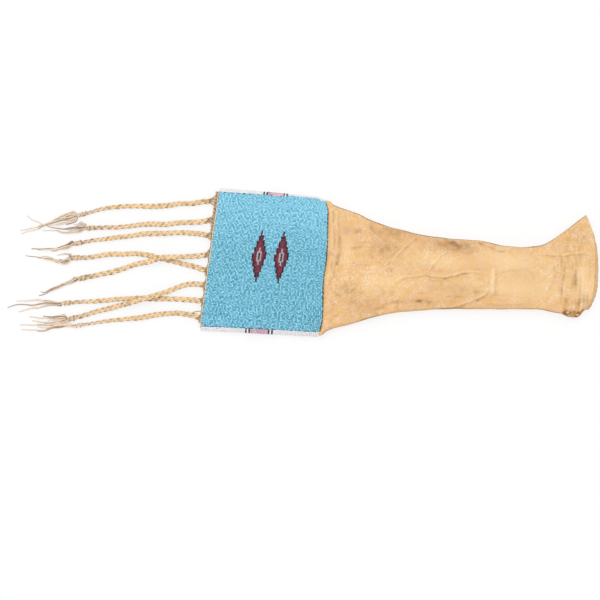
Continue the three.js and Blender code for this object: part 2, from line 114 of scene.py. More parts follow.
# Half width of the neck and height of the hide, from pouch (0) to mouth (1), as shares of the neck's
FAR_EDGE = [
    (0.00, 2.147), (0.03, 2.040), (0.06, 1.933), (0.09, 1.860), (0.12, 1.760), (0.15, 1.627),
    (0.21, 1.456), (0.27, 1.328), (0.34, 1.208), (0.39, 1.165), (0.46, 1.130), (0.55, 1.122),
    (0.60, 1.051), (0.64, 0.997), (0.70, 0.981), (0.74, 0.995), (0.78, 1.051),
]
NEAR_EDGE = [
    (0.00, 2.173), (0.03, 2.048), (0.06, 1.930), (0.09, 1.855), (0.12, 1.755), (0.15, 1.653),
    (0.21, 1.477), (0.27, 1.345), (0.34, 1.255), (0.39, 1.205), (0.46, 1.135), (0.52, 1.099),
    (0.60, 1.075), (0.67, 1.043), (0.73, 1.000), (0.77, 0.984), (0.80, 0.992), (0.86, 1.061),
    (0.885, 1.085),
]
HEIGHT = [
    (0.00, 0.72), (0.06, 0.78), (0.15, 0.90), (0.30, 1.00), (0.70, 1.00), (0.82, 0.92), (1.00, 0.70),
]
# Height of the pouch from bottom seam (0) to neck (1), as a share of the neck's
POUCH_HEIGHT = [(0, 0.30), (0.1, 0.44), (0.25, 0.60), (0.45, 0.69), (0.7, 0.72), (1, 0.72)]

# Worn ridges of the hide, their crests paled with wear and painted light, one flank darkened with
# painted shade: line on the bag, height, breadth
RIDGES = [
    ([(-22, 4), (-11, 13), (1, 26), (14, 40)], 0.9, 1.5),
    ([(33, 1), (38, 10), (45, 19), (52, 24)], 0.9, 1.5),
    ([(-7, -14), (1, -10), (12, -7), (27, -4)], 0.8, 1.6),
    ([(38, -5), (50, -6), (61, -3), (72, 1), (86, 3), (94, 1), (101, -5), (104, -13)], 1.0, 1.9),
    ([(-88, 70), (-85, 44), (-84, 12), (-87, -20)], 0.8, 2.6),
    ([(-81, 66), (-79, 37), (-80, 12), (-83, -11)], 0.8, 2.2),
    ([(63, -40), (74, -36), (85, -31), (98, -25), (104, -17)], 1.2, 1.9),
    ([(109, 6), (110, -3), (109, -12), (110, -19)], 1.1, 3.2),
    ([(102, -34), (123, -33), (145, -31)], 0.6, 1.6),
    ([(170, 29), (189, 29), (202, 32), (217, 34), (227, 32)], 1.5, 1.6),
    ([(177, 22), (180, 3), (174, -13)], 0.5, 3.0),
    ([(218, 2), (219, -7), (214, -23)], 0.6, 1.4),
    ([(231, -3), (228, -17), (223, -34)], 0.6, 1.4),
]

# Furrows between them, which hold smoke and dirt and are darkened with painted shade: line, depth, breadth
FURROWS = [
    ([(27, -5), (37, -7), (50, -8), (61, -5), (72, -1), (82, 1)], 0.8, 1.3),
    ([(-75, 35), (-74, 18), (-77, 3)], 1.3, 1.8),
    ([(-61, 24), (-54, 24), (-48, 26)], 1.0, 1.4),
    ([(-19, -2), (-15, -3), (-12, -2)], 1.0, 1.3),
    ([(-9, -38), (6, -38), (19, -36), (31, -36), (39, -38), (44, -41)], 0.5, 2.0),
    ([(14, -35), (24, -37), (34, -39), (42, -42)], 0.45, 2.6),
    ([(93, -31), (96, -29), (99, -27)], 1.0, 1.5),
    ([(113, 5), (114, -4), (113, -13)], 0.8, 1.6),
    ([(103, -7), (104, -12), (104, -16)], 0.7, 1.4),
    ([(92, 39), (104, 34), (115, 29), (123, 30)], 1.0, 1.8),
    ([(192, 25), (195, 4), (193, -15), (201, -30)], 0.5, 2.2),
    ([(208, 21), (208, -1), (207, -18)], 0.4, 2.0),
    ([(206, -28), (213, -29), (220, -22)], 0.7, 2.5),
]

# Handled and smoked patches: middle, reach along and across, darkness, below 0 where the hide is pale
PATCHES = [
    ((-19, 26), (16, 14), 0.45),
    ((-8, 47), (24, 6), 0.50),
    ((58, 34), (26, 8), 0.55),
    ((-61, -29), (14, 10), 0.40),
    ((56, -18), (28, 4), 0.35),
    ((25, -37), (18, 5), 0.18),
    ((-45, -46), (20, 12), 0.30),
    ((-25, -16), (25, 14), -0.35),
    ((-65, 20), (6, 20), -0.40),
    ((42, 12), (34, 9), -0.45),
    ((128, 20), (36, 14), -0.55),
    ((220, 4), (11, 30), -0.38),
    ((-63, 44), (10, 4), 0.30),
    ((69, 34), (12, 4), 0.30),
    ((80, 28), (10, 4), 0.40),
    ((150, -10), (46, 22), -0.30),
    ((201, -2), (10, 22), 0.18),
    ((219, -23), (8, 10), 0.55),
    ((146, 6), (24, 14), 0.15),
    ((80, -21), (16, 6), 0.20),
    ((28, 9), (16, 6), 0.20),
    ((206, 52), (18, 16), 0.18),
    ((90, -16), (75, 9), -0.30),
]

# Soft swellings of the hide: middle, reach along and across, height
SWELLINGS = [
    ((86, -17), (26, 10), 1.6),
    ((20, 14), (30, 14), 0.7),
    ((145, 2), (26, 20), 0.7),
    ((-45, -25), (26, 24), 0.7),
    ((-40, 30), (24, 22), 0.6),
]

# Fringe braids, far side to near side: places from the middle of the bottom seam, with a third value,
# in braid thicknesses, where a braid climbs over its neighbour
BRAID_ROUTES = [
    [(-5, 73), (-13, 72), (-27, 69), (-41, 68), (-56, 65), (-70, 63.5), (-84, 63), (-99, 62),
     (-113, 60.5), (-128, 58), (-142, 53.5), (-151, 50.5)],
    [(-5, 49.5), (-12, 47.5), (-26, 46), (-40, 44.5), (-55, 42), (-69, 41.5), (-83, 40.5),
     (-98, 37.5), (-112, 35.5), (-126, 34.5), (-140, 33)],
    [(-5, 31.5), (-11, 32.5), (-25, 33), (-39, 32.5), (-54, 31), (-68, 30), (-82, 28.5),
     (-96, 25.5), (-111, 23), (-125, 20.5), (-139, 18), (-154, 14.5)],
    [(-5, 7.5), (-16, 5.5, 0.06), (-30, 3.5, 0.38), (-44, 2, 1.03), (-59, -0.5, 1.1), (-73, -5, 0.44),
     (-87, -8.5, 0.06), (-101, -14), (-115, -19.5), (-129, -23), (-146, -27.5)],
    [(-5, -11), (-15, -8), (-29, -5), (-44, -2), (-59, 0.5), (-73, 3.5), (-88, 4.5), (-102, 3),
     (-117, 2), (-131, -0.5), (-145, -3.5), (-155, -4.5)],
    [(-6, -29), (-14, -28.5), (-24, -29.5), (-35, -33.5, 0.06), (-49, -40.5, 0.53), (-63, -47, 1.1),
     (-77, -51.5, 1.12), (-91, -56.5, 0.72), (-105, -60, 0.1), (-119, -64.5), (-133, -69), (-147, -74),
     (-154, -76.5)],
    [(-7, -48.5), (-20, -48), (-34, -48), (-48, -48.5), (-63, -49), (-77, -49.5), (-91, -50.5),
     (-106, -52), (-120, -54), (-134, -56), (-148, -57.5), (-163, -59.5)],
    [(-8.5, -68.5), (-16, -66.5), (-30, -65), (-45, -66), (-59, -68), (-73, -71.5), (-87, -74),
     (-102, -76.5), (-116, -78.5), (-132, -82), (-145, -85)],
]

# Loose strands below each knot, from the middle of the bottom seam: one line for each strand
TAIL_ROUTES = [
    [[(-167, 50), (-174, 48), (-182, 44), (-188, 40), (-199, 34), (-204, 32), (-212, 30), (-221, 28),
      (-230, 25)],
     [(-166, 47), (-173, 44), (-180, 41), (-200, 34), (-211, 27), (-220, 24), (-228, 21)],
     [(-164, 41), (-174, 37), (-184, 35), (-195, 33), (-204, 32)],
     [(-170, 43), (-188, 40), (-199, 34), (-204, 34), (-209, 37), (-216, 39), (-224, 44)]],
    [[(-153, 36), (-161, 35), (-167, 32)],
     [(-151, 35), (-157, 39), (-161, 37), (-166, 36)],
     [(-158, 32), (-166, 31), (-178, 29), (-188, 30), (-200, 33)],
     [(-155, 30), (-160, 28), (-170, 26), (-179, 26), (-186, 28), (-189, 27), (-203, 26)]],
    [[(-166, 14), (-172, 10), (-178, 6), (-186, 3), (-191, 3)],
     [(-168, 9), (-171, 7), (-181, 4)],
     [(-167, 11), (-174, 8), (-184, 4), (-193, 4), (-199, 3), (-205, 1)],
     [(-171, 8), (-187, 5), (-206, 4), (-214, 3)]],
    [[(-159, -31), (-168, -36), (-178, -40), (-188, -44), (-195, -48), (-200, -48)],
     [(-161, -33), (-178, -41), (-193, -49), (-201, -53)],
     [(-160, -30), (-166, -34), (-175, -37)]],
    [[(-166, -2), (-170, -1), (-176, -1), (-183, -3)],
     [(-167, -8), (-170, -10), (-176, -12), (-183, -10), (-191, -8), (-203, -7), (-214, -6), (-221, -5)],
     [(-167, -5), (-170, -6), (-177, -10)],
     [(-170, -10), (-183, -8), (-192, -6), (-200, -5), (-205, -8)]],
    [[(-170, -78), (-183, -79), (-192, -79), (-198, -80), (-211, -79)],
     [(-168, -81), (-175, -83), (-189, -84), (-207, -84)],
     [(-168, -82), (-177, -86), (-186, -88)],
     [(-170, -76), (-182, -78), (-190, -80)],
     [(-168, -79), (-178, -81), (-188, -82)]],
    [[(-174, -62), (-179, -63), (-190, -64), (-203, -68), (-211, -69), (-224, -73)],
     [(-177, -61), (-188, -60), (-193, -59), (-203, -58), (-227, -61)],
     [(-177, -62), (-189, -62), (-199, -63), (-209, -65), (-219, -65), (-229, -65), (-238, -69)]],
    [[(-165, -86), (-177, -86), (-185, -88), (-195, -88), (-205, -89), (-214, -89), (-221, -90)],
     [(-165, -87), (-180, -89), (-192, -94), (-203, -95), (-220, -94)],
     [(-165, -86), (-175, -87), (-186, -90), (-197, -92)],
     [(-168, -87), (-178, -90), (-188, -91), (-200, -90)]],
]

# How dirty each braid is at its knot
KNOT_DIRT = (0.30, 0.44, 0.38, 0.46, 0.34, 0.38, 0.32, 0.10)
# How far each braid has faded at its knot
KNOT_FADING = (0.8, 0.5, 0.7, 0.4, 0.7, 0.4, 0.4, 0.9)

# How far the thin strands beside each tail's main ones stand off from them, as a share of the usual
TAIL_SPREAD = (1.0, 1.0, 0.9, 0.8, 0.9, 1.0, 0.45, 0.75)

# How much each braid slims down toward its knot
SLIMMING = (0.30, 0.22, 0.25, 0.05, 0.10, 0.10, 0.25, 0.42)

# How far along the bottom seam each braid's thongs spread from its head
THONG_SPREADS = [
    (5, 0, -7), (6, 0, -6), (6, -1, -7), (8, 2, -4), (5, -1, -8), (5, -1, -8), (5, -1, -8), (4, -2, -7),
]

# Thin thongs that stand off in a loop at the far and the near end of the seam, with their heights
LOOSE_LOOPS = [
    [(-13, 72.5, 5.5), (-8, 74, 5.6), (-2, 76.5, 5.2), (2, 79.5, 4.8), (6, 83, 4.6)],
    [(-19, -66, 5.0), (-15, -63, 5.2), (-10, -61.5, 5.0), (-5, -61.5, 5.0), (-3, -62, 4.6)],
]

# Side lane colours from the bottom seam to the neck, each with the bead row where it ends
FAR_LANE = [
    ("white", 28), ("black", 29), ("white", 30), ("black", 31), ("pink", 41),
    ("black", 42), ("white", 43), ("black", 44), ("white", 72),
]
NEAR_LANE = [
    ("white", 28), ("black", 29), ("white", 30), ("black", 31), ("pink", 42),
    ("black", 43), ("white", 44), ("black", 45), ("white", 72),
]

# Stepped diamond: half height in beads of each column, from the middle column outward
DIAMOND_RED = (21, 17, 13, 8, 3)
DIAMOND_WHITE = (7, 4)
DIAMOND_BLACK = (3,)
# Middle columns of both diamonds, where these lie across the bag, and how much further each column lies
DIAMOND_COLUMNS = (30, 44)
DIAMOND_MIDDLE = 7.5
DIAMOND_RISE = 0.3

# The panel's sewn edge at the neck: places across the bag, and how far it runs out to the mouth there
NECK_EDGE = [
    (-84, -2.0), (-77, -1.2), (-70, 0.1), (-62, 1.0), (-54, 0.9), (-46, 0.5), (-36, 0.0), (-26, -0.5),
    (-16, -0.2), (-6, 0.6), (4, 1.4), (16, 1.7), (32, 1.9), (46, 1.2), (60, 0.5), (68, 0.2), (76, -1.8),
    (84, -3.6),
]

# Shares of the pouch's length between which the beads take up the run of that edge
NECK_EDGE_SHOWS = (0.55, 1.0)

# How far the hide and its beads are drawn in across the bag at the panel's far corner there, and where
# along the bag that sets in and ends
CORNER_PULL = 2.0
CORNER_PULL_FROM = (POUCH_END - 14, POUCH_END - 4)
CORNER_PULL_TO = (POUCH_END + 26, POUCH_END + 12)

# Share of the pouch from which the front panel reaches one bead row further round the far side
FAR_CREEP = 0.6

# Power by which a move of the hide's side edges fades toward the middle of the bag
EDGE_FADE = 6

# Patterns of smooth noise: size of their features in millimetres, and a seed that sets each apart
NOISES = {
    "swell": (22, 1), "pucker": (7, 2), "side_cut": (16, 3), "panel_swell": (34, 4),
    "bend_x": (9, 5), "bend_y": (9, 6), "shake_x": (3.5, 10), "shake_y": (3.5, 11),
    "wrinkle": (11, 12), "wrinkled_area": (28, 13), "broken_line": (5, 14),
    "mouth_streak": (2.6, 7), "smoke_and_shade_blotch": (6, 8), "seam_wear": (19, 9),
    "tuft_cut": (2.6, 15), "tuft_shade": (2.6, 20),
    "plait_mottle": (2.4, 16), "plait_blotch": (5, 17), "knot_mottle": (2.4, 18),
}
# How far apart in the noise two patterns lie whose seeds differ by 1
NOISE_STEP = (7.31, 3.17, 5.53)
# Scales of place along, across and up under a pattern: less than 1 draws it out that way, 0 lays it flat
LAID_FLAT = (1, 1, 0)
WRINKLE_DRAWN_OUT = (0.6, 1, 0)
STREAK_DRAWN_OUT = (1, 0.12, 0)
EDGE_DRAWN_OUT = (1, 0.2, 0)

# Shares that are mottled by a pattern: the usual one, and how far it strays
MOTTLES = {
    "broken_line": (0.75, 0.9), "smoke_and_shade_blotch": (0.85, 0.9), "tuft_shade": (0.60, 1.1),
    "plait_mottle": (0.5, 0.9), "knot_mottle": (0.7, 1.2),
}

# Seeds of the chance that shapes the fringe, the panels and the lanes
FRINGE_SEED = 8
PANEL_SEED = 11
LANE_SEED = 12

# Relief of the hide: how far its traced lines bend and shake, and the least and most that shows of them;
# heights and depths in millimetres; where in their noise wrinkles show, and where the hide is wrinkled;
# and the deepest fold as a share of the wall
LINE_BEND = 1.3
LINE_SHAKE = 0.7
LINE_SHOWS = (0.1, 1.2)
SWELL_HEIGHT = 0.5
PUCKER_HEIGHT = 0.25
WRINKLE_DEPTH = 0.3
WRINKLE_SHOWS = (0.16, 0.0)
WRINKLED = (-0.1, 0.35)
DEEPEST_FOLD = 0.7

# Breadth of a crest and a groove as shares of their line's, how far aside of a crest its shaded flank
# lies, and how dark or pale each is for a millimetre of relief: the crest's pale is wear with a painted
# highlight, the flank's dark and a wrinkle's dark are painted shade
CREST_BREADTH = 0.7
GROOVE_BREADTH = 0.8
SHADE_ASIDE = 0.9
RIDGE_PALE = 0.55
RIDGE_FLANK_SHADE = 0.5
FURROW_DIRT_AND_SHADE = 0.7
WRINKLE_SHADE = 0.30

# Share of smoke, dirt and painted shade that shows in all, and how much less each further dark adds to it
SMOKE_AND_SHADE = 0.95
SMOKE_AND_SHADE_EASE = 0.6

# Where the streaks of dirt at the mouth begin along the bag, and end toward its far side, how dark they
# are and how pale the hide is between them
MOUTH_STREAKS_FROM = (180, 194)
MOUTH_STREAKS_TO = (33, 24)
MOUTH_STREAK_DARK = 0.22
MOUTH_STREAK_PALE = 0.3

# Where the hide darkens with painted shade toward its far and near side, as shares of its reach, and
# how dark it is there
FAR_SHADE = (0.965, 0.998)
NEAR_SHADE = (0.94, 0.998)
FAR_SIDE_SHADE = 0.30
NEAR_SIDE_SHADE = 0.20

# Where along the bag beads cover the hide, where it is bare, how dark the hide is painted under the beads
# as their shade, and how flat the bare hide lies where its dark sets in
COVERED_FROM = (POUCH_START + 1, POUCH_START + 4)
COVERED_TO = (POUCH_END - 9, POUCH_END - 13)
BARE_FROM = (POUCH_END + 0.5, POUCH_END + 4)
COVERED_SHADE = 0.9
DARK_SHOWS = (0, 0.3)

# Bottom of the hollow, and where and how much the hide inside is darkened with painted shade deep in
# and paled with painted light toward the lip
HOLLOW_BOTTOM = BOTTOM + 8
INSIDE_DARKENS = (MOUTH - 8, MOUTH - 30)
INSIDE_PALES = (MOUTH - 20, MOUTH - 6)
INSIDE_SHADE = 0.45
INSIDE_LIGHT = 0.3

# The rough tuft at the near corner of the mouth: where it begins and ends along the bag, where it
# begins as a share of the hide's reach
TUFT_FROM = (200, 205)
TUFT_TO = (233, 227)
TUFT_ACROSS = (0.80, 0.88)

# Bulges of the near edge at the mouth and past the pouch: place along the bag, breadth, and how far out
NEAR_BULGES = ((MOUTH - 6, 6, 2.6), (POUCH_END + 12, 7, 1.0))

# How far the sides of the hide waver by their cut, and in the tuft
SIDE_CUT = 0.7
TUFT_CUT = 1.6

# Corners of the hide's rings over the top and under it, its rings on the pouch and inside, and the step of
# those on the neck
TOP_STEPS = 112
UNDER_STEPS = 44
POUCH_RINGS = 36
INNER_RINGS = 70
NECK_RING_STEP = 1.25

# Sewn lines along the front panel's ends: steps, height over the hide, height and length of their
# waves, and share and length of the twist of their thread
EDGING_STEPS = 260
EDGING_LIFT = 0.9
EDGING_WAVES = ((0.14, 1.1), (0.25, 7.3))
EDGING_TWIST = (0.25, 0.9)

# Whipped side seams: start and step along the bag, least radius, how much wear changes it, reach and
# length of the twist, and how deep they sit
SEAM_FROM = POUCH_END + 3
SEAM_STEP = 1.0
SEAM_LEAST = 0.12
SEAM_WEAR = 0.7
SEAM_TWIST = (0.1, 0.8)
SEAM_DEPTH = 0.9

# The hem inside the mouth: its ends as shares of the hide's reach, steps, inset, radius and unevenness
HEM_ENDS = (0.97, -0.93)
HEM_STEPS = 160
HEM_INSET = 0.3
HEM_RADIUS = 0.5
HEM_UNEVEN = 0.15
HEM_WAVES = 37

# Strands of a braid, and for each: corners of its section, step along it, how flat it lies, how deep it
# dives as a share of its thickness, the share of the braid from which it slims, and jitter of its thickness
PLAIT_STRANDS = 3
PLAIT_SIDES = 10
BRAID_STEP = 1.0
PLAIT_FLATNESS = 0.86
PLAIT_DIVE = 0.36
PLAIT_SLIMS_FROM = 0.45
STRAND_JITTER = 0.03

# Unevenness of a plait's turns, of its swing and of its strands: share, and millimetres for a radian
PLAIT_TURNS = (0.18, 17)
PLAIT_SWING = (0.14, 9)
PLAIT_THICKNESS = (0.13, 3.7)

# A knot: corners and rings of its body, lift over the braid, radius and flatness, how much it bellies
# and tapers, height of its lobes, one for each strand, and the share that it takes of its braid's slimming
KNOT_SIDES = 14
KNOT_RINGS = 15
KNOT_LIFT = 0.2
KNOT_RADIUS = 2.9
KNOT_FLATNESS = 0.92
KNOT_BELLY = 0.15
KNOT_TAPER = 0.25
LOBE_HEIGHT = 0.13
KNOT_SLIMMING = 0.6

# The tie about it: turns and steps of its winding, reach from the knot's middle line and slack, start,
# run and stray as shares of the knot's length, radius and unevenness, how fast these three change as it
# winds, and the share that it takes of its braid's fading
TIE_TURNS = 2.5
TIE_STEPS = 60
TIE_REACH = 3.0
TIE_SLACK = 0.25
TIE_START = 0.10
TIE_RUN = 0.72
TIE_STRAY = 0.14
TIE_RADIUS = 0.55
TIE_UNEVEN = 0.2
TIE_CHANGES = {"stray": 0.5, "slack": 0.37, "uneven": 0.8}
TIE_FADING = 0.5

# How far from its knot a braid fades and is dirty, and its tail is dirty: where that begins and is full
FADED = (32, 6)
SOILED_ABOVE = (24, 2)
SOILED_BELOW = (22, 2)

# Painted shade low between the strands of a braid and a tail: heights over the middle, in half
# thicknesses, where it sets in and is full, and how much it is; and how much of the strand's own dirt
# and of its knot's is added
PLAIT_LOW = (0.45, -0.30)
PLAIT_LOW_SHADE = 0.85
PLAIT_KNOT_DIRT = 1.2
TAIL_LOW = (0.45, -0.5)
TAIL_LOW_SHADE = 0.75
TAIL_OWN_DIRT = 0.7

# Blotches of a braid: where in their noise they set in and are full, and how dark they are
PLAIT_BLOTCHED = (0.1, 0.45)
PLAIT_BLOTCH = 0.35

# Rise of a line for its length, from which it counts as steep
STEEP = 0.9

# Corners of a thin strand's section, points between two places of a braid's route, of a thong's, of a
# loop's and of a line on the hide, and step of the path that a cord states
THIN_SIDES = 7
BRAID_ROUTE_STEPS = 12
ROUTE_STEPS = 10
LOOP_STEPS = 8
LINE_STEPS = 4

# Strands of a tail: share of its routes that they run along, and how far beside each route they lie
TAIL_LAYERS = (
    (1.0, (0.0, 0.0, 0.0, 0.0, 0.0)),
    (0.72, (1.2, -1.2, 1.1, -1.1, 1.0)),
    (0.45, (-1.8, 1.9, -1.6, 1.8, -2.0)),
)

# Step along a tail's strand, its flatness and taper, lead in and out of the knot, jitter of its places
# along and across, and its sway, with the shortest and longest wave and the run over which it sets in
TAIL_STEP = 1.2
TAIL_FLATNESS = 0.8
TAIL_TAPER = 0.5
TAIL_LEAD = 1.5
TAIL_JITTER = (0.4, 0.3)
TAIL_SWAY = 0.3
TAIL_WAVES = (3.0, 5.0)
TAIL_SWAYS_FROM = (0, 14)

# How far a tail reaches into its knot, how far apart its strands leave it, aside and up, and the share
# that they keep there of their way beside a route
TAIL_OVERLAP = 0.5
TAIL_APART = 0.5
TAIL_RISE = 0.8
TAIL_GATHER = 0.45

# How the strands lie on the floor and on each other, in thicknesses, in how many heights, how they sink
# to it, as shares of the knot's height at their first place and less at each further one, and the
# fewest points of one
TAIL_LIE = 0.55
TAIL_PILE = 0.45
TAIL_HEIGHTS = 3
TAIL_SINK = (0.55, 0.45)
TAIL_LEAST = 6

# Thickness that a tail's strands draw from, as shares, and dirt that some whole strands have
TAIL_THICKNESS = (0.8, 1.15)
TAIL_DIRT = (0.0, 0.05, 0.85)

# The heading of the fringe: height over the floor, ends in from the far and the near corner, way out
# from the seam, length of one twist, steps along it, where it thickens across the bag, how far and how
# broadly each braid pulls it out, and the heights between which it darkens toward the floor
HEADING_HEIGHT = 4.1
HEADING_ENDS = (3, 10)
HEADING_OUT = 0.6
HEADING_TWIST = 8.5
HEADING_STEPS = 340
HEADING_THICK = (24, 40)
HEADING_PULL = 0.9
HEADING_PULL_BREADTH = 5.0
HEADING_DARKENS = (5.6, 3.8)

# Its two thongs: reach from the middle of their twist and radius, both where it is thin and how much more
# where it is thick, how much further out it stands there, and unevenness, its length and jitter
HEADING_REACH = (0.25, 0.75)
HEADING_RADIUS = (0.5, 0.5)
HEADING_STANDS_OUT = 1.1
HEADING_UNEVEN = 0.1
HEADING_LUMP = 2.3
HEADING_JITTER = 0.02

# Thongs from the seam to the braids: corners of their section, step, radius and its unevenness,
# flatness and way aside of each other; and radius of the loose loops
THONG_SIDES = 8
THONG_STEP = 0.8
THONG_RADIUS = 1.1
THONG_UNEVEN = 0.15
THONG_FLATNESS = 0.85
THONG_ASIDE = 1.6
LOOP_RADIUS = 0.65

# Stage, in metres: sensor in millimetres, the soft lamp's sides and place, half the floor's side, how
# white it is and the share of that white that the camera sees
SENSOR = 36.0
LAMP_SIDES = (1.6, 1.1)
LAMP_PLACE = (-0.4, 0.25, 1.75)
FLOOR_HALF = 4.0
FLOOR_WHITE = 1.03
FLOOR_WHITE_SEEN = 0.72

# Patterns of the hide's colour: size in millimetres, detail, roughness and distortion of the noise,
# where it sets in and is full, and how much. Patches from handling are broad and mottling fine; the nap's
# grain is drawn coarser than it is, so that it shows
HIDE_PATTERNS = {
    "patch": (45, 6.0, 0.62, 0.5, 0.42, 0.66, 0.8),
    "mottle": (9, 6.0, 0.66, 0.0, 0.36, 0.64, 1.0),
    "grain": (2, 3.0, 0.6, 0.0, 0.38, 0.64, 1.0),
    "tint": (9, 3.0, 0.6, 0.4, 0.36, 0.64, 1.0),
}

# Tones of the hide's colours and of the strands', as shares of them
HIDE_TONES = {"plain": 0.90, "worn": 1.06, "patch": 0.84, "grain": 0.82}
STRAND_TONES = {"plain": 1.08, "blotch": 0.82, "streak": 0.70}

# Width of a strand's streaks, coarser than its fibres so that they show, and size of its blotches
STREAK_WIDTH = 1.1
BLOTCH_SIZE = 14

# Smoke that took unevenly: yellower and rosier spots, as shares of the colour under them
YELLOWER = (1.02, 1.01, 0.89, 1.0)
ROSIER = (0.98, 0.99, 1.11, 1.0)

# Darkest bead of each colour, as a share of the colour, and how far the palest goes toward white, which
# stands in for painted glints
BEAD_TONES = {
    "turquoise": (0.48, 0.27), "red": (0.14, 0.035), "white": (0.93, 0.60), "black": (0.60, 0.06),
    "pink": (0.66, 0.25), "pearl": (0.85, 0.10),
}

# How much paler the diamonds' red beads are, from those of the outline inward
OUTLINE_TONES = (-0.42, 0.12, 0.35)

# A bead: angles of its corners, its rings as shares of its length and radius, and how broad it lies
BEAD_TURNS = np.radians((-30, 30, 90, 150, 210))
BEAD_RINGS = ((-0.50, 0.84), (0.0, 1.0), (0.50, 0.84))
BEAD_CORNERS = len(BEAD_TURNS) * len(BEAD_RINGS)
BEAD_SWELL = 1.06
BEAD_BREADTH = 1.3

# Unevenness of the beads: spread and bounds of size, spread of tilt, usual tone and its spread, painted
# light and shade by which a turned bead differs, and share that don't turn
BEAD_SIZES = 0.035
BEAD_SIZE_BOUNDS = (0.9, 1.1)
BEAD_TILT = 0.04
USUAL_TONE = 0.50
BEAD_TONE = 0.11
TURNED_LIGHT = 0.26
UNTURNED = 0.08

# How much paler the beads are painted on the far side, as light that it catches, and where that sets in
# across the bag, and how far the front panel swells and sinks
FAR_SIDE_LIGHT = 0.2
FAR_SIDE_LIGHT_ACROSS = (5, 75)
PANEL_SWELL = 0.3

# Steps round the side of the pouch along which a lane's beads are laid, and the fewest beads of a row
LANE_STEPS = 181
FEWEST_BEADS = 4


def linear(hex_colour):
    """An sRGB hex colour as linear red, green and blue."""
    values = [int(hex_colour[i:i + 2], 16) / 255 for i in (1, 3, 5)]
    return tuple(v / 12.92 if v <= 0.04045 else ((v + 0.055) / 1.055) ** 2.4 for v in values)


def colour_prop(name, description, hex_colour):
    """A colour that a user may change, with its default as an sRGB hex value."""
    return bpy.props.FloatVectorProperty(
        name=name, description=description, subtype="COLOR", size=3, min=0, max=1,
        default=linear(hex_colour))


def length_prop(name, description, usual, least, most):
    """A length that a user may change, given in millimetres."""
    return bpy.props.FloatProperty(
        name=name, description=description, default=usual * MM, min=least * MM, max=most * MM,
        unit="LENGTH", precision=5)


class PipeBagHide(bpy.types.PropertyGroup):
    """Sizes and colours of the tanned hide."""

    fold_height: bpy.props.FloatProperty(
        name="Fold height", description="Height of the folds, as a share of the usual", default=1.0,
        min=0, max=2, subtype="FACTOR")
    pale: colour_prop("Pale hide", "Worn and lit nap", "#FFDBAA")
    tan: colour_prop("Tan hide", "Main colour of the smoked hide", "#F9C58C")
    # The deep colour also serves for the hide's painted shade
    deep: colour_prop("Deep hide", "Deepest smoke and dirt", "#8A5C30")
    seam: colour_prop("Side seam", "Whipped edge of the hide", "#AA9676")


class PipeBagBeads(bpy.types.PropertyGroup):
    """Sizes and colours of the glass beads."""

    unevenness: length_prop("Unevenness", "How far a bead may sit off its place", 0.10, 0, 0.4)
    turquoise: colour_prop("Turquoise", "Ground of both panels", "#6DDFFF")
    red: colour_prop("Red", "Outline of the diamonds", "#8A2844")
    pearl: colour_prop("Pearl", "Ring round the diamond middles", "#BEB0BC")
    white: colour_prop("White", "Ground of the side lanes", "#F8F3F7")
    black: colour_prop("Black", "Bars and diamond middles", "#22262B")
    pink: colour_prop("Pink", "Fields of the side lanes", "#E6B3C8")


class PipeBagFringe(bpy.types.PropertyGroup):
    """Sizes and colours of the plaited fringe."""

    plait_length: length_prop("Plait length", "Length in which a strand crosses over and back", 22, 8, 40)
    strand: length_prop("Strand", "Thickness of one plaited strand", 2.9, 1, 4)
    thong: length_prop("Thong", "Thickness of one loose strand below the knot", 2.0, 0.4, 3)
    straw: colour_prop("Straw", "Plaited strands", "#F5D6A9")
    # The worn colour also serves for painted shade between the strands
    worn: colour_prop("Worn strand", "Dirt between the strands", "#8E673E")
    grey: colour_prop("Grey strand", "Loose ends, weathered", "#F2DCC6")
    tie: colour_prop("Tie", "Binding of the knots", "#B89468")
    thread: colour_prop("Thread", "Sewing thread at the bottom seam", "#F4E8D6")
    # Its dark colour also stands for the shade line along the panel's raised edge at the neck
    dark_thread: colour_prop("Dark thread", "Sewing thread at the neck", "#4C564E")


class PipeBagStage(bpy.types.PropertyGroup):
    """Camera and light of the picture."""

    azimuth: bpy.props.FloatProperty(
        name="Azimuth", description="Turn of the camera about the bag", default=math.radians(3.2),
        subtype="ANGLE")
    elevation: bpy.props.FloatProperty(
        name="Elevation", description="Height of the camera above the horizon", default=math.radians(82),
        subtype="ANGLE")
    distance: bpy.props.FloatProperty(
        name="Distance", description="From the camera to the floor it looks at", default=2.4, unit="LENGTH")
    view_width: bpy.props.FloatProperty(
        name="View width", description="Width of the floor that the picture shows", default=0.72,
        unit="LENGTH")
    target: bpy.props.FloatVectorProperty(
        name="Target", description="Point of the floor in the middle of the picture",
        default=tuple((SHIFT + (BOTTOM + 111.6, -40.3, 0.0)) * MM), unit="LENGTH")
    key_power: bpy.props.FloatProperty(
        name="Key light", description="Power of the large soft lamp", default=8.0, unit="POWER")
    sky: bpy.props.FloatProperty(
        name="Sky light", description="Strength of the even light from all round", default=0.85)


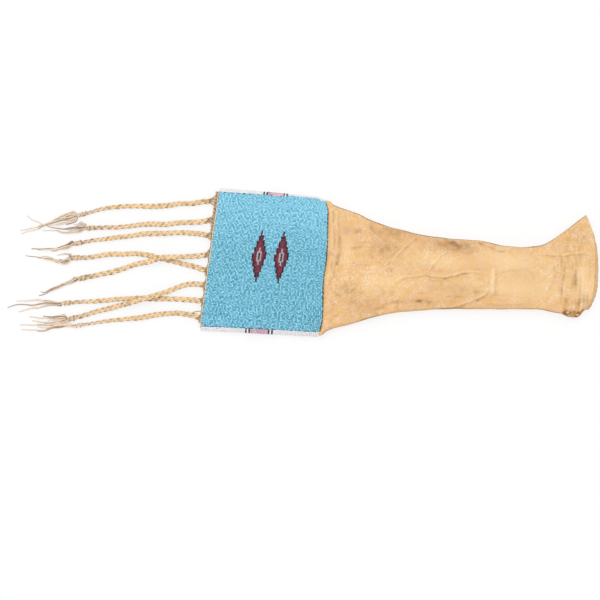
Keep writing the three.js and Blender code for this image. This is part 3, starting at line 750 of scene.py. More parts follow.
def smooth_through(points):
    """A smooth curve through points of rising x, as a function of x."""
    xs, ys = np.array(points, float).T
    slopes = np.empty_like(ys)
    slopes[1:-1] = (ys[2:] - ys[:-2]) / (xs[2:] - xs[:-2])
    slopes[0] = (ys[1] - ys[0]) / (xs[1] - xs[0])
    slopes[-1] = (ys[-1] - ys[-2]) / (xs[-1] - xs[-2])

    def at(x):
        inside = np.clip(x, xs[0], xs[-1])
        i = np.clip(np.searchsorted(xs, inside, side="right") - 1, 0, len(xs) - 2)
        span = xs[i + 1] - xs[i]
        s = (inside - xs[i]) / span
        rise = ys[i + 1] - ys[i]
        start = slopes[i] * span
        end = slopes[i + 1] * span
        return ys[i] + s * (start + s * (3 * rise - 2 * start - end + s * (start + end - 2 * rise)))

    return at


far_share = smooth_through(FAR_EDGE)
near_share = smooth_through(NEAR_EDGE)
neck_height = smooth_through(HEIGHT)
pouch_height = smooth_through(POUCH_HEIGHT)
neck_edge = smooth_through(NECK_EDGE)


def smooth_step(low, high, x):
    """0 below low, 1 above high, and an even rise between them."""
    t = np.clip((x - low) / (high - low), 0, 1)
    return t * t * (3 - 2 * t)


def along_neck(x):
    """Share of the neck's length, 0 at the pouch and 1 at the mouth."""
    return (x - POUCH_END) / NECK_LENGTH


def along_pouch(x):
    """Share of the pouch's length, 0 at the bottom seam and 1 at the neck."""
    return (x - POUCH_START) / POUCH_LENGTH


def lean_at(x):
    """Sideways run of the bag's cross lines, which lean at the bottom seam and square up at the neck."""
    return LEAN * (1 - np.clip(along_pouch(x), 0, 1) ** 4)


def top_at(x):
    """Height of the hide's top over the floor."""
    share = np.where(x < POUCH_END, pouch_height(along_pouch(x)), neck_height(along_neck(x)))
    return NECK_HEIGHT * share


def floor_at(x):
    """Height of the hide's underside, lifted by the beads under the pouch."""
    return (BEAD + GAP) * (1 - smooth_step(*UNDERSIDE, along_neck(x)))


def far_at(x):
    """Reach of the hide to the far side of its middle line."""
    s = along_neck(x)
    neck = NECK_WIDTH / 2 * far_share(s)
    pouch = POUCH_WIDTH / 2 + POUCH_FLARE * (1 - np.clip(along_pouch(x), 0, 1))
    ear = (MOUTH_FAR - neck) * np.clip((s - EAR[0]) / (EAR[1] - EAR[0]), 0, 1) ** MOUTH_SWEEP
    blend = smooth_step(*SHOULDER, s)
    return pouch * (1 - blend) + (neck + ear) * blend


def near_at(x):
    """Reach of the hide to the near side of its middle line."""
    s = along_neck(x)
    neck = NECK_WIDTH / 2 * near_share(s)
    roll = (MOUTH_NEAR - neck) * smooth_step(*TUFT, s) - CORNER_TUCK * smooth_step(*TUCK, s)
    blend = smooth_step(*SHOULDER, s)
    return POUCH_WIDTH / 2 * (1 - blend) + (neck + roll) * blend


def reach_at(x, side):
    """Reach of the hide to the far side where side is above 0, and else to the near side."""
    return np.where(side > 0, far_at(x), near_at(x))


def roll_at(x, side, top):
    """Width of the side roll: tight and wide rolls sit across from each other on the pouch."""
    on_pouch = np.where((side > 0) == top, ROUND_TIGHT, ROUND_WIDE)
    on_neck = reach_at(x, side) * np.where(top, NECK_ROUND, NECK_ROUND_UNDER)
    blend = smooth_step(*ROUNDING, along_neck(x))
    return on_pouch * (1 - blend) + on_neck * blend


def hide_points(x, share, top, inset):
    """Points of the hide by place along the bag, share of its reach across, layer and inset."""
    side = np.where(share < 0, -1, 1)
    reach = reach_at(x, side) - inset
    low = floor_at(x) + inset
    high = top_at(x) - inset
    middle = (low + high) / 2
    roll = np.minimum(np.maximum(roll_at(x, side, top) - inset, 1), reach)
    past = np.maximum(0, (np.abs(share) * reach - (reach - roll)) / roll)
    bulge = np.sqrt(np.maximum(0, 1 - past ** 2))
    y = share * reach
    opening = smooth_step(*PARTING, along_neck(x))
    corner = np.where(share > 0, CORNER_FAR * np.abs(share) ** 3, CORNER_NEAR * share ** 2)
    lip = np.where(top, MOUTH_LIP * (1 - share ** 2), 0)
    along = x + lean_at(x) * y - opening * (corner + lip)
    height = np.where(top, middle + (high - middle) * bulge, middle - (middle - low) * bulge)
    return np.stack([along, y, height], axis=-1), bulge


def line_distance(x, y, line):
    """Distance from each place to a line of points."""
    best = np.full(x.shape, 1e9)
    for (ax, ay), (bx, by) in zip(line[:-1], line[1:]):
        run = (bx - ax) ** 2 + (by - ay) ** 2
        s = np.clip(((x - ax) * (bx - ax) + (y - ay) * (by - ay)) / run, 0, 1)
        best = np.minimum(best, np.hypot(x - ax - s * (bx - ax), y - ay - s * (by - ay)))
    return best


def rounded(line, steps):
    """A line of given points as a smooth one, with more points between them."""
    points = np.array(line, float)
    ends = np.concatenate([[2 * points[0] - points[1]], points, [2 * points[-1] - points[-2]]])
    out = []
    for a, b, c, d in zip(ends[:-3], ends[1:-2], ends[2:-1], ends[3:]):
        for s in np.arange(steps) / steps:
            out.append(0.5 * (2 * b + (c - a) * s + (2 * a - 5 * b + 4 * c - d) * s ** 2
                              + (3 * b - a - 3 * c + d) * s ** 3))
    out.append(points[-1])
    return np.array(out)


def even_steps(line, step):
    """The same line with its points a step apart."""
    runs = np.linalg.norm(np.diff(line, axis=0), axis=1)
    along = np.concatenate([[0], np.cumsum(runs)])
    wanted = np.linspace(0, along[-1], max(2, int(round(along[-1] / step)) + 1))
    return np.stack([np.interp(wanted, along, line[:, i]) for i in range(line.shape[1])], axis=-1)


def bell(distance, breadth):
    """1 at no distance, falling off smoothly over a breadth."""
    return np.exp(-((distance / breadth) ** 2))


def near_line(x, y, line, breadth):
    """1 on a line, falling off smoothly over its breadth."""
    return bell(line_distance(x, y, rounded(line, LINE_STEPS)), breadth)


def within(x, y, middle, reach):
    """1 in the middle of a soft patch, falling off smoothly over its reach."""
    return np.exp(-(((x - middle[0]) / reach[0]) ** 2) - ((y - middle[1]) / reach[1]) ** 2)


def noise_at(points, pattern):
    """Smooth noise of a named pattern, about -1 to 1."""
    size, seed = NOISES[pattern]
    offset = Vector([seed * step for step in NOISE_STEP])
    return np.array([noise.noise(Vector(p) / size + offset) for p in points])


def mottled(points, pattern):
    """A share that strays from its usual value by a named pattern."""
    usual, stray = MOTTLES[pattern]
    return usual + stray * noise_at(points, pattern)


def hide_relief(points):
    """Height the folds add to the hide at each point, and its dark and pale, partly painted shade and
    light.
    """
    flat = points * LAID_FLAT
    x = points[:, 0] + LINE_BEND * noise_at(flat, "bend_x") + LINE_SHAKE * noise_at(flat, "shake_x")
    y = points[:, 1] + LINE_BEND * noise_at(flat, "bend_y") + LINE_SHAKE * noise_at(flat, "shake_y")
    height = SWELL_HEIGHT * noise_at(flat, "swell") + PUCKER_HEIGHT * noise_at(flat, "pucker")
    wrinkle = smooth_step(*WRINKLE_SHOWS, np.abs(noise_at(flat * WRINKLE_DRAWN_OUT, "wrinkle")))
    wrinkle *= smooth_step(*WRINKLED, noise_at(flat, "wrinkled_area"))
    broken = np.clip(mottled(flat, "broken_line"), *LINE_SHOWS)
    height -= WRINKLE_DEPTH * wrinkle
    # Wrinkles are darkened with painted shade
    dark = WRINKLE_SHADE * wrinkle
    pale = np.zeros(x.shape)
    for line, ridge, breadth in RIDGES:
        crest = near_line(x, y, line, CREST_BREADTH * breadth) * broken
        height += ridge * crest
        # Wear and a painted highlight on the crest
        pale += RIDGE_PALE * ridge * crest
        # Painted shade on the flank away from the light
        aside = SHADE_ASIDE * breadth
        shade = near_line(x - aside, y + aside, line, CREST_BREADTH * breadth)
        dark += RIDGE_FLANK_SHADE * ridge * shade * broken
    for line, depth, breadth in FURROWS:
        groove = near_line(x, y, line, GROOVE_BREADTH * breadth) * broken
        height -= depth * groove
        # Dirt and painted shade in the furrow
        dark += FURROW_DIRT_AND_SHADE * depth * groove
    for middle, reach, swell in SWELLINGS:
        height += swell * within(x, y, middle, reach)
    for middle, reach, darkness in PATCHES:
        patch = within(x, y, middle, reach)
        dark += max(darkness, 0) * patch
        pale += max(-darkness, 0) * patch
    streaks = noise_at(flat * STREAK_DRAWN_OUT, "mouth_streak")
    streaks = streaks * smooth_step(*MOUTH_STREAKS_FROM, x) * smooth_step(*MOUTH_STREAKS_TO, y)
    height = np.maximum(height, -DEEPEST_FOLD * WALL)
    # Smoke, dirt and painted shade: darkness on darkness adds less and less
    smoke = SMOKE_AND_SHADE * dark / (1 + SMOKE_AND_SHADE_EASE * dark) * mottled(flat, "smoke_and_shade_blotch")
    smoke = smoke + MOUTH_STREAK_DARK * streaks
    return height, np.clip(smoke, 0, 1), np.clip(pale - MOUTH_STREAK_PALE * streaks, 0, 1)


def ring_faces(rings, count):
    """Quads between rings of equal count, facing out where a ring turns left-handed about the travel."""
    faces = []
    for i in range(rings - 1):
        for j in range(count):
            a = i * count + j
            b = i * count + (j + 1) % count
            faces.append((a, a + count, b + count, b))
    return faces


def closed_faces(rings, sides):
    """Faces of a closed body: the quads between its rings and a cap on each end."""
    count = rings * sides
    first = tuple(range(sides))
    last = tuple(range(count - 1, count - sides - 1, -1))
    return ring_faces(rings, sides) + [first, last]


def unit(vectors):
    """The same directions, each of length 1."""
    return vectors / np.linalg.norm(vectors, axis=-1, keepdims=True)


def even_turns(sides):
    """Angles of the corners of a round section."""
    return 2 * math.pi * np.arange(sides) / sides


def sides_of(line):
    """Directions ahead, across and up at each point of a line."""
    ahead = unit(np.gradient(line, axis=0))
    across = unit(np.cross(ahead, UP))
    return ahead, across, np.cross(across, ahead)


def tube(path, radius, sides, flat=1.0):
    """Points and faces of a closed tube along a path; the radius may change along it."""
    radius = np.broadcast_to(np.asarray(radius, float), (len(path),))
    _, across, upward = sides_of(path)
    turns = even_turns(sides)
    ring = (np.cos(turns)[None, :, None] * across[:, None, :]
            + flat * np.sin(turns)[None, :, None] * upward[:, None, :])
    points = path[:, None, :] + radius[:, None, None] * ring
    return points.reshape(-1, 3), closed_faces(len(path), sides)


def wire(path, radius, sides):
    """A closed tube along a path that may stand upright, whose section turns with it as it goes."""
    ahead = unit(np.gradient(path, axis=0))
    across = np.cross(ahead[0], UP if abs(ahead[0][2]) < STEEP else ALONG)
    turns = even_turns(sides)
    rings = []
    for place, forward, reach in zip(path, ahead, radius):
        across = unit(across - forward * np.dot(across, forward))
        upward = np.cross(across, forward)
        ring = np.outer(np.cos(turns), across) + np.outer(np.sin(turns), upward)
        rings.append(place + reach * ring)
    return np.concatenate(rings), closed_faces(len(path), sides)


def in_frame(points):
    """Points of the drawing, in millimetres, as points of the frame, in metres."""
    return (np.asarray(points) + SHIFT) * MM


def merged(parts):
    """Several bodies of points and faces as one."""
    points = []
    faces = []
    start = 0
    for part_points, part_faces in parts:
        points.append(part_points)
        faces += [tuple(start + i for i in face) for face in part_faces]
        start += len(part_points)
    return np.concatenate(points), faces


def add_piece(name, points, faces, material, slot, replaces=(), values=None):
    """A piece of the bag from points of its drawing, riding on the bag, with named values on its points."""
    mesh = bpy.data.meshes.new(name)
    mesh.from_pydata(in_frame(points).tolist(), [], faces)
    mesh.polygons.foreach_set("use_smooth", [True] * len(mesh.polygons))
    for key, numbers in (values or {}).items():
        layer = mesh.attributes.new(key, "FLOAT", "POINT")
        layer.data.foreach_set("value", np.asarray(numbers, np.float32))
    mesh.materials.append(material)
    mesh.validate()
    mesh.update()
    piece = bpy.data.objects.new(name, mesh)
    bpy.context.collection.objects.link(piece)
    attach(piece, "root")
    if replaces:
        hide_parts(*replaces)
    return piece


def add_node(tree, kind, inputs=None, **settings):
    """One shader node with its settings; an input is a value or another node's output."""
    node = tree.nodes.new(kind)
    for key, value in settings.items():
        setattr(node, key, value)
    for key, value in (inputs or {}).items():
        if isinstance(value, bpy.types.NodeSocket):
            tree.links.new(value, node.inputs[key])
        else:
            node.inputs[key].default_value = value
    return node


def new_material(name):
    """An empty node material and its tree."""
    material = bpy.data.materials.get(name) or bpy.data.materials.new(name)
    material.use_nodes = True
    material.node_tree.nodes.clear()
    return material, material.node_tree


def rgba(colour, share=1.0):
    """A linear colour with alpha, made darker or paler by a share."""
    return (*(min(1.0, channel * share) for channel in colour), 1.0)


def buckskin_material():
    """Smoked buckskin, napped: dry and matt, mottled where handled, pale with wear and painted light on
    ridges.
    """
    hide = bpy.context.scene.pipe_bag_hide
    material, tree = new_material("smoked_buckskin_napped")
    place = add_node(tree, "ShaderNodeTexCoord").outputs["Object"]
    dark = add_node(tree, "ShaderNodeAttribute", attribute_name="smoke").outputs["Fac"]
    pale = add_node(tree, "ShaderNodeAttribute", attribute_name="wear").outputs["Fac"]
    noises = {}
    shares = {}
    for name, (size, detail, roughness, distortion, low, high, most) in HIDE_PATTERNS.items():
        pattern = add_node(tree, "ShaderNodeTexNoise", {
            "Vector": place, "Scale": 1 / (size * MM), "Detail": detail, "Roughness": roughness,
            "Distortion": distortion})
        noises[name] = pattern.outputs["Fac"]
        share = add_node(tree, "ShaderNodeMapRange", {
            "Value": noises[name], "From Min": low, "From Max": high, "To Max": most})
        shares[name] = share.outputs["Result"]
    # Sockets 0, 6 and 7 of a colour mix are its factor and two colours, and output 2 is the result
    tints = add_node(tree, "ShaderNodeMix", {
        0: shares["tint"], 6: YELLOWER, 7: ROSIER}, data_type="RGBA").outputs[2]
    colour = rgba(hide.tan, HIDE_TONES["plain"])
    worn = rgba(hide.pale, HIDE_TONES["worn"])
    patch = rgba(hide.tan, HIDE_TONES["patch"])
    grain = rgba(hide.tan, HIDE_TONES["grain"])
    # Mixed in last: the deep colour for smoke, dirt and painted shade, and the worn colour for wear and a
    # painted highlight
    for share, over, blend in (
            (shares["mottle"], worn, "MIX"), (shares["patch"], patch, "MIX"),
            (shares["grain"], grain, "MIX"), (1.0, tints, "MULTIPLY"),
            (dark, rgba(hide.deep), "MIX"), (pale, worn, "MIX")):
        mix = add_node(tree, "ShaderNodeMix", {0: share, 6: colour, 7: over}, data_type="RGBA",
                       blend_type=blend)
        colour = mix.outputs[2]
    relief = add_node(tree, "ShaderNodeMath", {
        0: noises["mottle"], 1: 0.6, 2: noises["grain"]}, operation="MULTIPLY_ADD")
    bump = add_node(tree, "ShaderNodeBump", {
        "Height": relief.outputs["Value"], "Strength": 0.35, "Distance": 0.7 * MM})
    shader = add_node(tree, "ShaderNodeBsdfPrincipled", {
        "Base Color": colour, "Normal": bump.outputs["Normal"], "Roughness": 0.92, "IOR": 1.45,
        "Specular IOR Level": 0.25, "Sheen Weight": 0.12, "Sheen Roughness": 0.6})
    add_node(tree, "ShaderNodeOutputMaterial", {"Surface": shader.outputs["BSDF"]})
    return material


def bead_material(name, colour):
    """Drawn and tumbled opaque glass: each bead's own tone, partly painted light, and a small soft
    highlight.
    """
    material, tree = new_material(f"{name}_glass_beads")
    darkest, whitest = BEAD_TONES[name]
    palest = tuple(channel + whitest * (1 - channel) for channel in colour)
    shade = add_node(tree, "ShaderNodeAttribute", attribute_name="bead_shade").outputs["Fac"]
    tone = add_node(tree, "ShaderNodeMix", {
        0: shade, 6: rgba(colour, darkest), 7: rgba(palest)}, data_type="RGBA")
    shader = add_node(tree, "ShaderNodeBsdfPrincipled", {
        "Base Color": tone.outputs[2], "Roughness": 0.28, "IOR": 1.52, "Specular IOR Level": 0.4})
    add_node(tree, "ShaderNodeOutputMaterial", {"Surface": shader.outputs["BSDF"]})
    return material


def strand_material(name, light, dark, streak_length, faded=None):
    """Buckskin thongs worn by handling: dull, streaked along the run, dirt and painted shade between
    strands.
    """
    material, tree = new_material(name)
    place = add_node(tree, "ShaderNodeTexCoord").outputs["Object"]
    dirt = add_node(tree, "ShaderNodeAttribute", attribute_name="strand_dirt").outputs["Fac"]
    # Streaks run along the strand, with its fibres
    stretched = add_node(tree, "ShaderNodeMapping", {
        "Vector": place, "Scale": (STREAK_WIDTH / streak_length, 1.0, 1.0)})
    streak = add_node(tree, "ShaderNodeTexNoise", {
        "Vector": stretched.outputs["Vector"], "Scale": 1 / (STREAK_WIDTH * MM), "Detail": 4.0,
        "Roughness": 0.65})
    blotch = add_node(tree, "ShaderNodeTexNoise", {
        "Vector": place, "Scale": 1 / (BLOTCH_SIZE * MM), "Detail": 3.0, "Roughness": 0.6})
    streak_share = add_node(tree, "ShaderNodeMapRange", {
        "Value": streak.outputs["Fac"], "From Min": 0.42, "From Max": 0.72, "To Max": 0.55})
    blotch_share = add_node(tree, "ShaderNodeMapRange", {
        "Value": blotch.outputs["Fac"], "From Min": 0.40, "From Max": 0.70, "To Max": 0.45})
    layers = [
        (blotch_share.outputs["Result"], rgba(light, STRAND_TONES["blotch"])),
        (streak_share.outputs["Result"], rgba(light, STRAND_TONES["streak"])),
    ]
    if faded is not None:
        fading = add_node(tree, "ShaderNodeAttribute", attribute_name="strand_fading")
        layers.append((fading.outputs["Fac"], rgba(faded)))
    layers.append((dirt, rgba(dark)))
    colour = rgba(light, STRAND_TONES["plain"])
    for share, over in layers:
        mix = add_node(tree, "ShaderNodeMix", {0: share, 6: colour, 7: over}, data_type="RGBA")
        colour = mix.outputs[2]
    bump = add_node(tree, "ShaderNodeBump", {
        "Height": streak.outputs["Fac"], "Strength": 0.5, "Distance": 0.4 * MM})
    shader = add_node(tree, "ShaderNodeBsdfPrincipled", {
        "Base Color": colour, "Normal": bump.outputs["Normal"], "Roughness": 0.85, "IOR": 1.45,
        "Specular IOR Level": 0.3})
    add_node(tree, "ShaderNodeOutputMaterial", {"Surface": shader.outputs["BSDF"]})
    return material


def floor_material():
    """Matt white paper: white to the camera, with a light trace of the bag's own soft shadow on it."""
    material, tree = new_material("white_backdrop_paper")
    path = add_node(tree, "ShaderNodeLightPath")
    seen = add_node(tree, "ShaderNodeMath", {
        0: path.outputs["Is Camera Ray"], 1: path.outputs["Is Glossy Ray"]}, operation="MAXIMUM")
    seen_through = add_node(tree, "ShaderNodeMath", {
        0: seen.outputs["Value"], 1: path.outputs["Is Transmission Ray"]}, operation="MAXIMUM")
    share = add_node(tree, "ShaderNodeMath", {
        0: seen_through.outputs["Value"], 1: FLOOR_WHITE_SEEN}, operation="MULTIPLY")
    paper = add_node(tree, "ShaderNodeBsdfDiffuse", {"Color": rgba(linear("#F6F6F6"))})
    white = add_node(tree, "ShaderNodeEmission", {
        "Color": rgba((1.0, 1.0, 1.0)), "Strength": FLOOR_WHITE})
    mix = add_node(tree, "ShaderNodeMixShader", {
        0: share.outputs["Value"], 1: paper.outputs["BSDF"], 2: white.outputs["Emission"]})
    add_node(tree, "ShaderNodeOutputMaterial", {"Surface": mix.outputs["Shader"]})
    return material


def braid_line(route):
    """Middle line of a braid in millimetres of the drawing, with its points a step apart."""
    places = []
    for place in route:
        climb = place[2] if len(place) > 2 else 0.0
        places.append((BOTTOM + place[0], place[1], BRAID * (climb + 0.5) + REST))
    return even_steps(rounded(places, BRAID_ROUTE_STEPS), BRAID_STEP)


def uneven_run(unevenness, along, start):
    """Shares about 1 that rise and fall along a line."""
    share, length = unevenness
    return 1 + share * np.sin(along / length + start)


def over_middle(points, line, sides):
    """Height of a tube's points over the middle line that it runs along."""
    return points[:, 2] - np.repeat(line[:, 2], sides)


def plait(line, strand, plait_length, knot_dirt, slimming, rng):
    """Three strands plaited about a line, each a closed tube, with dirt and painted shade between them."""
    along = np.arange(len(line)) * BRAID_STEP
    slim = 1 - slimming * smooth_step(PLAIT_SLIMS_FROM, 1.0, along / along[-1])
    swing = slim * (BRAID - strand) / 2
    dive = PLAIT_DIVE * strand * slim
    turn_length = plait_length * uneven_run(PLAIT_TURNS, along, rng.uniform(0, 6))
    turn = 2 * math.pi * np.cumsum(1.0 / turn_length)
    soiled = np.repeat(knot_dirt * smooth_step(*SOILED_ABOVE, along[-1] - along), PLAIT_SIDES)
    _, across, upward = sides_of(line)
    bodies = []
    dirt = []
    start = rng.uniform(0, 2 * math.pi)
    for k in range(PLAIT_STRANDS):
        phase = turn + start + 2 * math.pi * k / PLAIT_STRANDS
        aside = swing * uneven_run(PLAIT_SWING, along, k) * np.sin(phase)
        rise = dive * np.sin(2 * phase)
        path = line + across * aside[:, None] + upward * rise[:, None]
        uneven = uneven_run(PLAIT_THICKNESS, along, 2 * k) + rng.normal(0, STRAND_JITTER, len(line))
        points, faces = tube(path, strand / 2 * slim * uneven, PLAIT_SIDES, PLAIT_FLATNESS)
        over = over_middle(points, line, PLAIT_SIDES) / (BRAID / 2)
        # Painted shade low between the strands
        between = PLAIT_LOW_SHADE * smooth_step(*PLAIT_LOW, over)
        by_knot = PLAIT_KNOT_DIRT * soiled * mottled(points, "plait_mottle")
        blotch = PLAIT_BLOTCH * smooth_step(*PLAIT_BLOTCHED, noise_at(points, "plait_blotch"))
        dirt.append(np.clip(between + by_knot + blotch, 0, 1))
        bodies.append((points, faces))
    points, faces = merged(bodies)
    return points, faces, np.concatenate(dirt)


def faded_at(points, line, fading):
    """How far a braid's points have faded: not at all along most of it, and most at its end."""
    to_end = np.linalg.norm(points - line[-1], axis=1)
    return fading * smooth_step(*FADED, to_end)


def knot_soil(points, soil):
    """Dirt that took unevenly on the points of a knot."""
    return np.clip(soil * mottled(points, "knot_mottle"), 0, 1)


def knot_wrap(place, heading, slim, rng):
    """The strands drawn together and bound: a lumpy body and the uneven turns of thong round it."""
    across = np.cross(heading, UP)
    steps = np.linspace(0, 1, KNOT_RINGS)
    line = place + np.outer(steps * KNOT_LENGTH, heading)
    belly = 1 + KNOT_BELLY * np.sin(math.pi * steps)
    taper = 1 - KNOT_TAPER * steps ** 3
    points, faces = tube(line, KNOT_RADIUS * slim * belly * taper, KNOT_SIDES, KNOT_FLATNESS)
    spokes = points.reshape(KNOT_RINGS, KNOT_SIDES, 3) - line[:, None, :]
    winding = PLAIT_STRANDS * even_turns(KNOT_SIDES) + 2 * steps[:, None] + rng.uniform(0, 6)
    lobes = 1 + LOBE_HEIGHT * np.cos(winding)
    body = (line[:, None, :] + spokes * lobes[:, :, None]).reshape(-1, 3), faces
    winds = np.linspace(0, 2 * math.pi * TIE_TURNS, TIE_STEPS)
    stray = TIE_STRAY * np.sin(winds * TIE_CHANGES["stray"] + rng.uniform(0, 6))
    travel = TIE_START + TIE_RUN * winds / winds[-1] + stray
    reach = TIE_REACH * slim + TIE_SLACK * np.sin(winds * TIE_CHANGES["slack"] + rng.uniform(0, 6))
    helix = (place + np.outer(KNOT_LENGTH * travel, heading) + np.outer(reach * np.cos(winds), across)
             + np.outer(KNOT_FLATNESS * reach * np.sin(winds), UP))
    radius = TIE_RADIUS + TIE_UNEVEN * np.sin(winds * TIE_CHANGES["uneven"])
    return body, wire(helix, radius, THIN_SIDES)


def tail_strands(start, heading, routes, spread, thong, knot_dirt, rng):
    """Loose strands below a knot: thin thongs with shorter ones beside them, which taper on the floor."""
    across = np.cross(heading, UP)
    bodies = []
    dirt = []
    strands = [(route, share, side) for share, layer in TAIL_LAYERS for route, side in zip(routes, layer)]
    for k, (route, share, side) in enumerate(strands):
        beside = spread * side
        aside = (k % len(routes) - (len(routes) - 1) / 2) * TAIL_APART + TAIL_GATHER * beside
        low = TAIL_LIE * thong + REST + TAIL_PILE * thong * (k % TAIL_HEIGHTS)
        leave = start + across * aside + UP * rng.uniform(-TAIL_RISE, TAIL_RISE)
        places = [leave - TAIL_LEAD * heading, leave + TAIL_LEAD * heading]
        for i, (x, y) in enumerate(route):
            height = max(low, start[2] * (TAIL_SINK[0] - TAIL_SINK[1] * i))
            x_place = BOTTOM + x + rng.normal(0, TAIL_JITTER[0])
            y_place = y + beside + rng.normal(0, TAIL_JITTER[1])
            places.append((x_place, y_place, height))
        line = even_steps(rounded(places, ROUTE_STEPS), TAIL_STEP)
        line = line[:max(TAIL_LEAST, int(share * len(line)))]
        along = np.arange(len(line)) * TAIL_STEP
        sway = TAIL_SWAY * np.sin(along / rng.uniform(*TAIL_WAVES) + rng.uniform(0, 6))
        line[:, 1] += sway * smooth_step(*TAIL_SWAYS_FROM, along)
        taper = 1 - TAIL_TAPER * (along / along[-1]) ** 2
        radius = thong / 2 * taper * rng.uniform(*TAIL_THICKNESS)
        points, faces = tube(line, radius, THIN_SIDES, TAIL_FLATNESS)
        over = over_middle(points, line, THIN_SIDES) / (thong / 2)
        by_knot = np.repeat(knot_dirt * smooth_step(*SOILED_BELOW, along), THIN_SIDES)
        # Painted shade low between the strands
        between = TAIL_LOW_SHADE * smooth_step(*TAIL_LOW, over)
        dirt.append(np.clip(between + TAIL_OWN_DIRT * (by_knot + rng.choice(TAIL_DIRT)), 0, 1))
        bodies.append((points, faces))
    points, faces = merged(bodies)
    return points, faces, np.concatenate(dirt)


def seam_x(y):
    """Place of the bottom seam along the bag."""
    return BOTTOM + LEAN * y


def heading_rope(rng):
    """The heading of the fringe: two thongs twisted along the bottom seam, thinner on the near side."""
    heads = [braid_line(route)[0] for route in BRAID_ROUTES]
    from_far, from_near = HEADING_ENDS
    y = np.linspace(far_at(BOTTOM) - from_far, from_near - near_at(BOTTOM), HEADING_STEPS)
    pull = sum(HEADING_PULL * bell(y - head[1], HEADING_PULL_BREADTH) for head in heads)
    middle = np.stack([seam_x(y) - HEADING_OUT - pull, y, np.full_like(y, HEADING_HEIGHT)], axis=-1)
    thick = smooth_step(*HEADING_THICK, y)
    out = HEADING_REACH[0] + HEADING_REACH[1] * thick
    stands_out = HEADING_STANDS_OUT * thick
    bodies = []
    for k in range(2):
        turn = 2 * math.pi * y / HEADING_TWIST + math.pi * k
        line = middle + np.stack([out * np.cos(turn) - stands_out, 0 * y, out * np.sin(turn)], axis=-1)
        uneven = HEADING_UNEVEN * np.sin(y / HEADING_LUMP + 2 * k)
        radius = HEADING_RADIUS[0] + HEADING_RADIUS[1] * thick + uneven
        bodies.append(tube(line, radius + rng.normal(0, HEADING_JITTER, len(y)), THONG_SIDES))
    return bodies


def head_thongs(rng):
    """The thongs that run from the bottom seam to each braid, and thin ones that stand off in a loop."""
    bodies = []
    for loop in LOOSE_LOOPS:
        line = rounded([(BOTTOM + x, y, z) for x, y, z in loop], LOOP_STEPS)
        bodies.append(tube(even_steps(line, THONG_STEP), LOOP_RADIUS, THIN_SIDES))
    for route, spreads in zip(BRAID_ROUTES, THONG_SPREADS):
        head = braid_line(route)
        ahead, across, _ = sides_of(head)
        for k, spread in enumerate(spreads):
            y = head[0][1] + spread
            aside = (1 - k) * THONG_ASIDE * np.sign(across[0][1])
            # From inside the seam out over it, past the braid's head and down into the braid
            places = [
                (seam_x(y) + 1.0, y, 5.2),
                (seam_x(y) - 1.6, y - 0.18 * spread, 4.9 + 0.3 * k),
                head[0] - 1.6 * ahead[0] + across[0] * aside * 1.1 + UP * 0.5,
                head[3] + across[3] * aside * 0.9 + UP * (0.2 - 0.3 * k),
                head[8] + across[8] * aside * 0.4 - UP * 0.8,
            ]
            line = even_steps(rounded(places, ROUTE_STEPS), THONG_STEP)
            uneven = rng.normal(0, 1, len(line)).cumsum().clip(-1, 1)
            bodies.append(tube(line, THONG_RADIUS + THONG_UNEVEN * uneven, THONG_SIDES, THONG_FLATNESS))
    return bodies


class PIPEBAG_OT_stage(bpy.types.Operator):
    """Set the camera, the soft light and the pale floor"""

    bl_idname = "pipe_bag.stage"
    bl_label = "Stage"

    def execute(self, context):
        scene = context.scene
        stage = scene.pipe_bag_stage
        scene.view_settings.view_transform = "Standard"
        turn = stage.azimuth
        lift = stage.elevation
        back = Vector((math.sin(turn) * math.cos(lift), -math.cos(turn) * math.cos(lift), math.sin(lift)))
        camera = bpy.data.objects.new("camera", bpy.data.cameras.new("camera"))
        camera.data.sensor_width = SENSOR
        camera.data.lens = camera.data.sensor_width * stage.distance / stage.view_width
        camera.location = Vector(stage.target) + back * stage.distance
        camera.rotation_euler = back.to_track_quat("Z", "Y").to_euler()
        scene.collection.objects.link(camera)
        scene.camera = camera

        lamp = bpy.data.objects.new("key_light", bpy.data.lights.new("key_light", "AREA"))
        lamp.data.energy = stage.key_power
        lamp.data.shape = "RECTANGLE"
        lamp.data.size, lamp.data.size_y = LAMP_SIDES
        lamp.location = LAMP_PLACE
        lamp.rotation_euler = Vector(LAMP_PLACE).to_track_quat("Z", "Y").to_euler()
        scene.collection.objects.link(lamp)

        world = bpy.data.worlds.new("even_sky")
        world.use_nodes = True
        world.node_tree.nodes["Background"].inputs["Color"].default_value = (1, 1, 1, 1)
        world.node_tree.nodes["Background"].inputs["Strength"].default_value = stage.sky
        scene.world = world

        mesh = bpy.data.meshes.new("floor")
        corners = [(x * FLOOR_HALF, y * FLOOR_HALF, 0) for x, y in ((-1, -1), (1, -1), (1, 1), (-1, 1))]
        mesh.from_pydata(corners, [], [(0, 1, 2, 3)])
        mesh.materials.append(floor_material())
        floor = bpy.data.objects.new("floor", mesh)
        scene.collection.objects.link(floor)
        return {"FINISHED"}


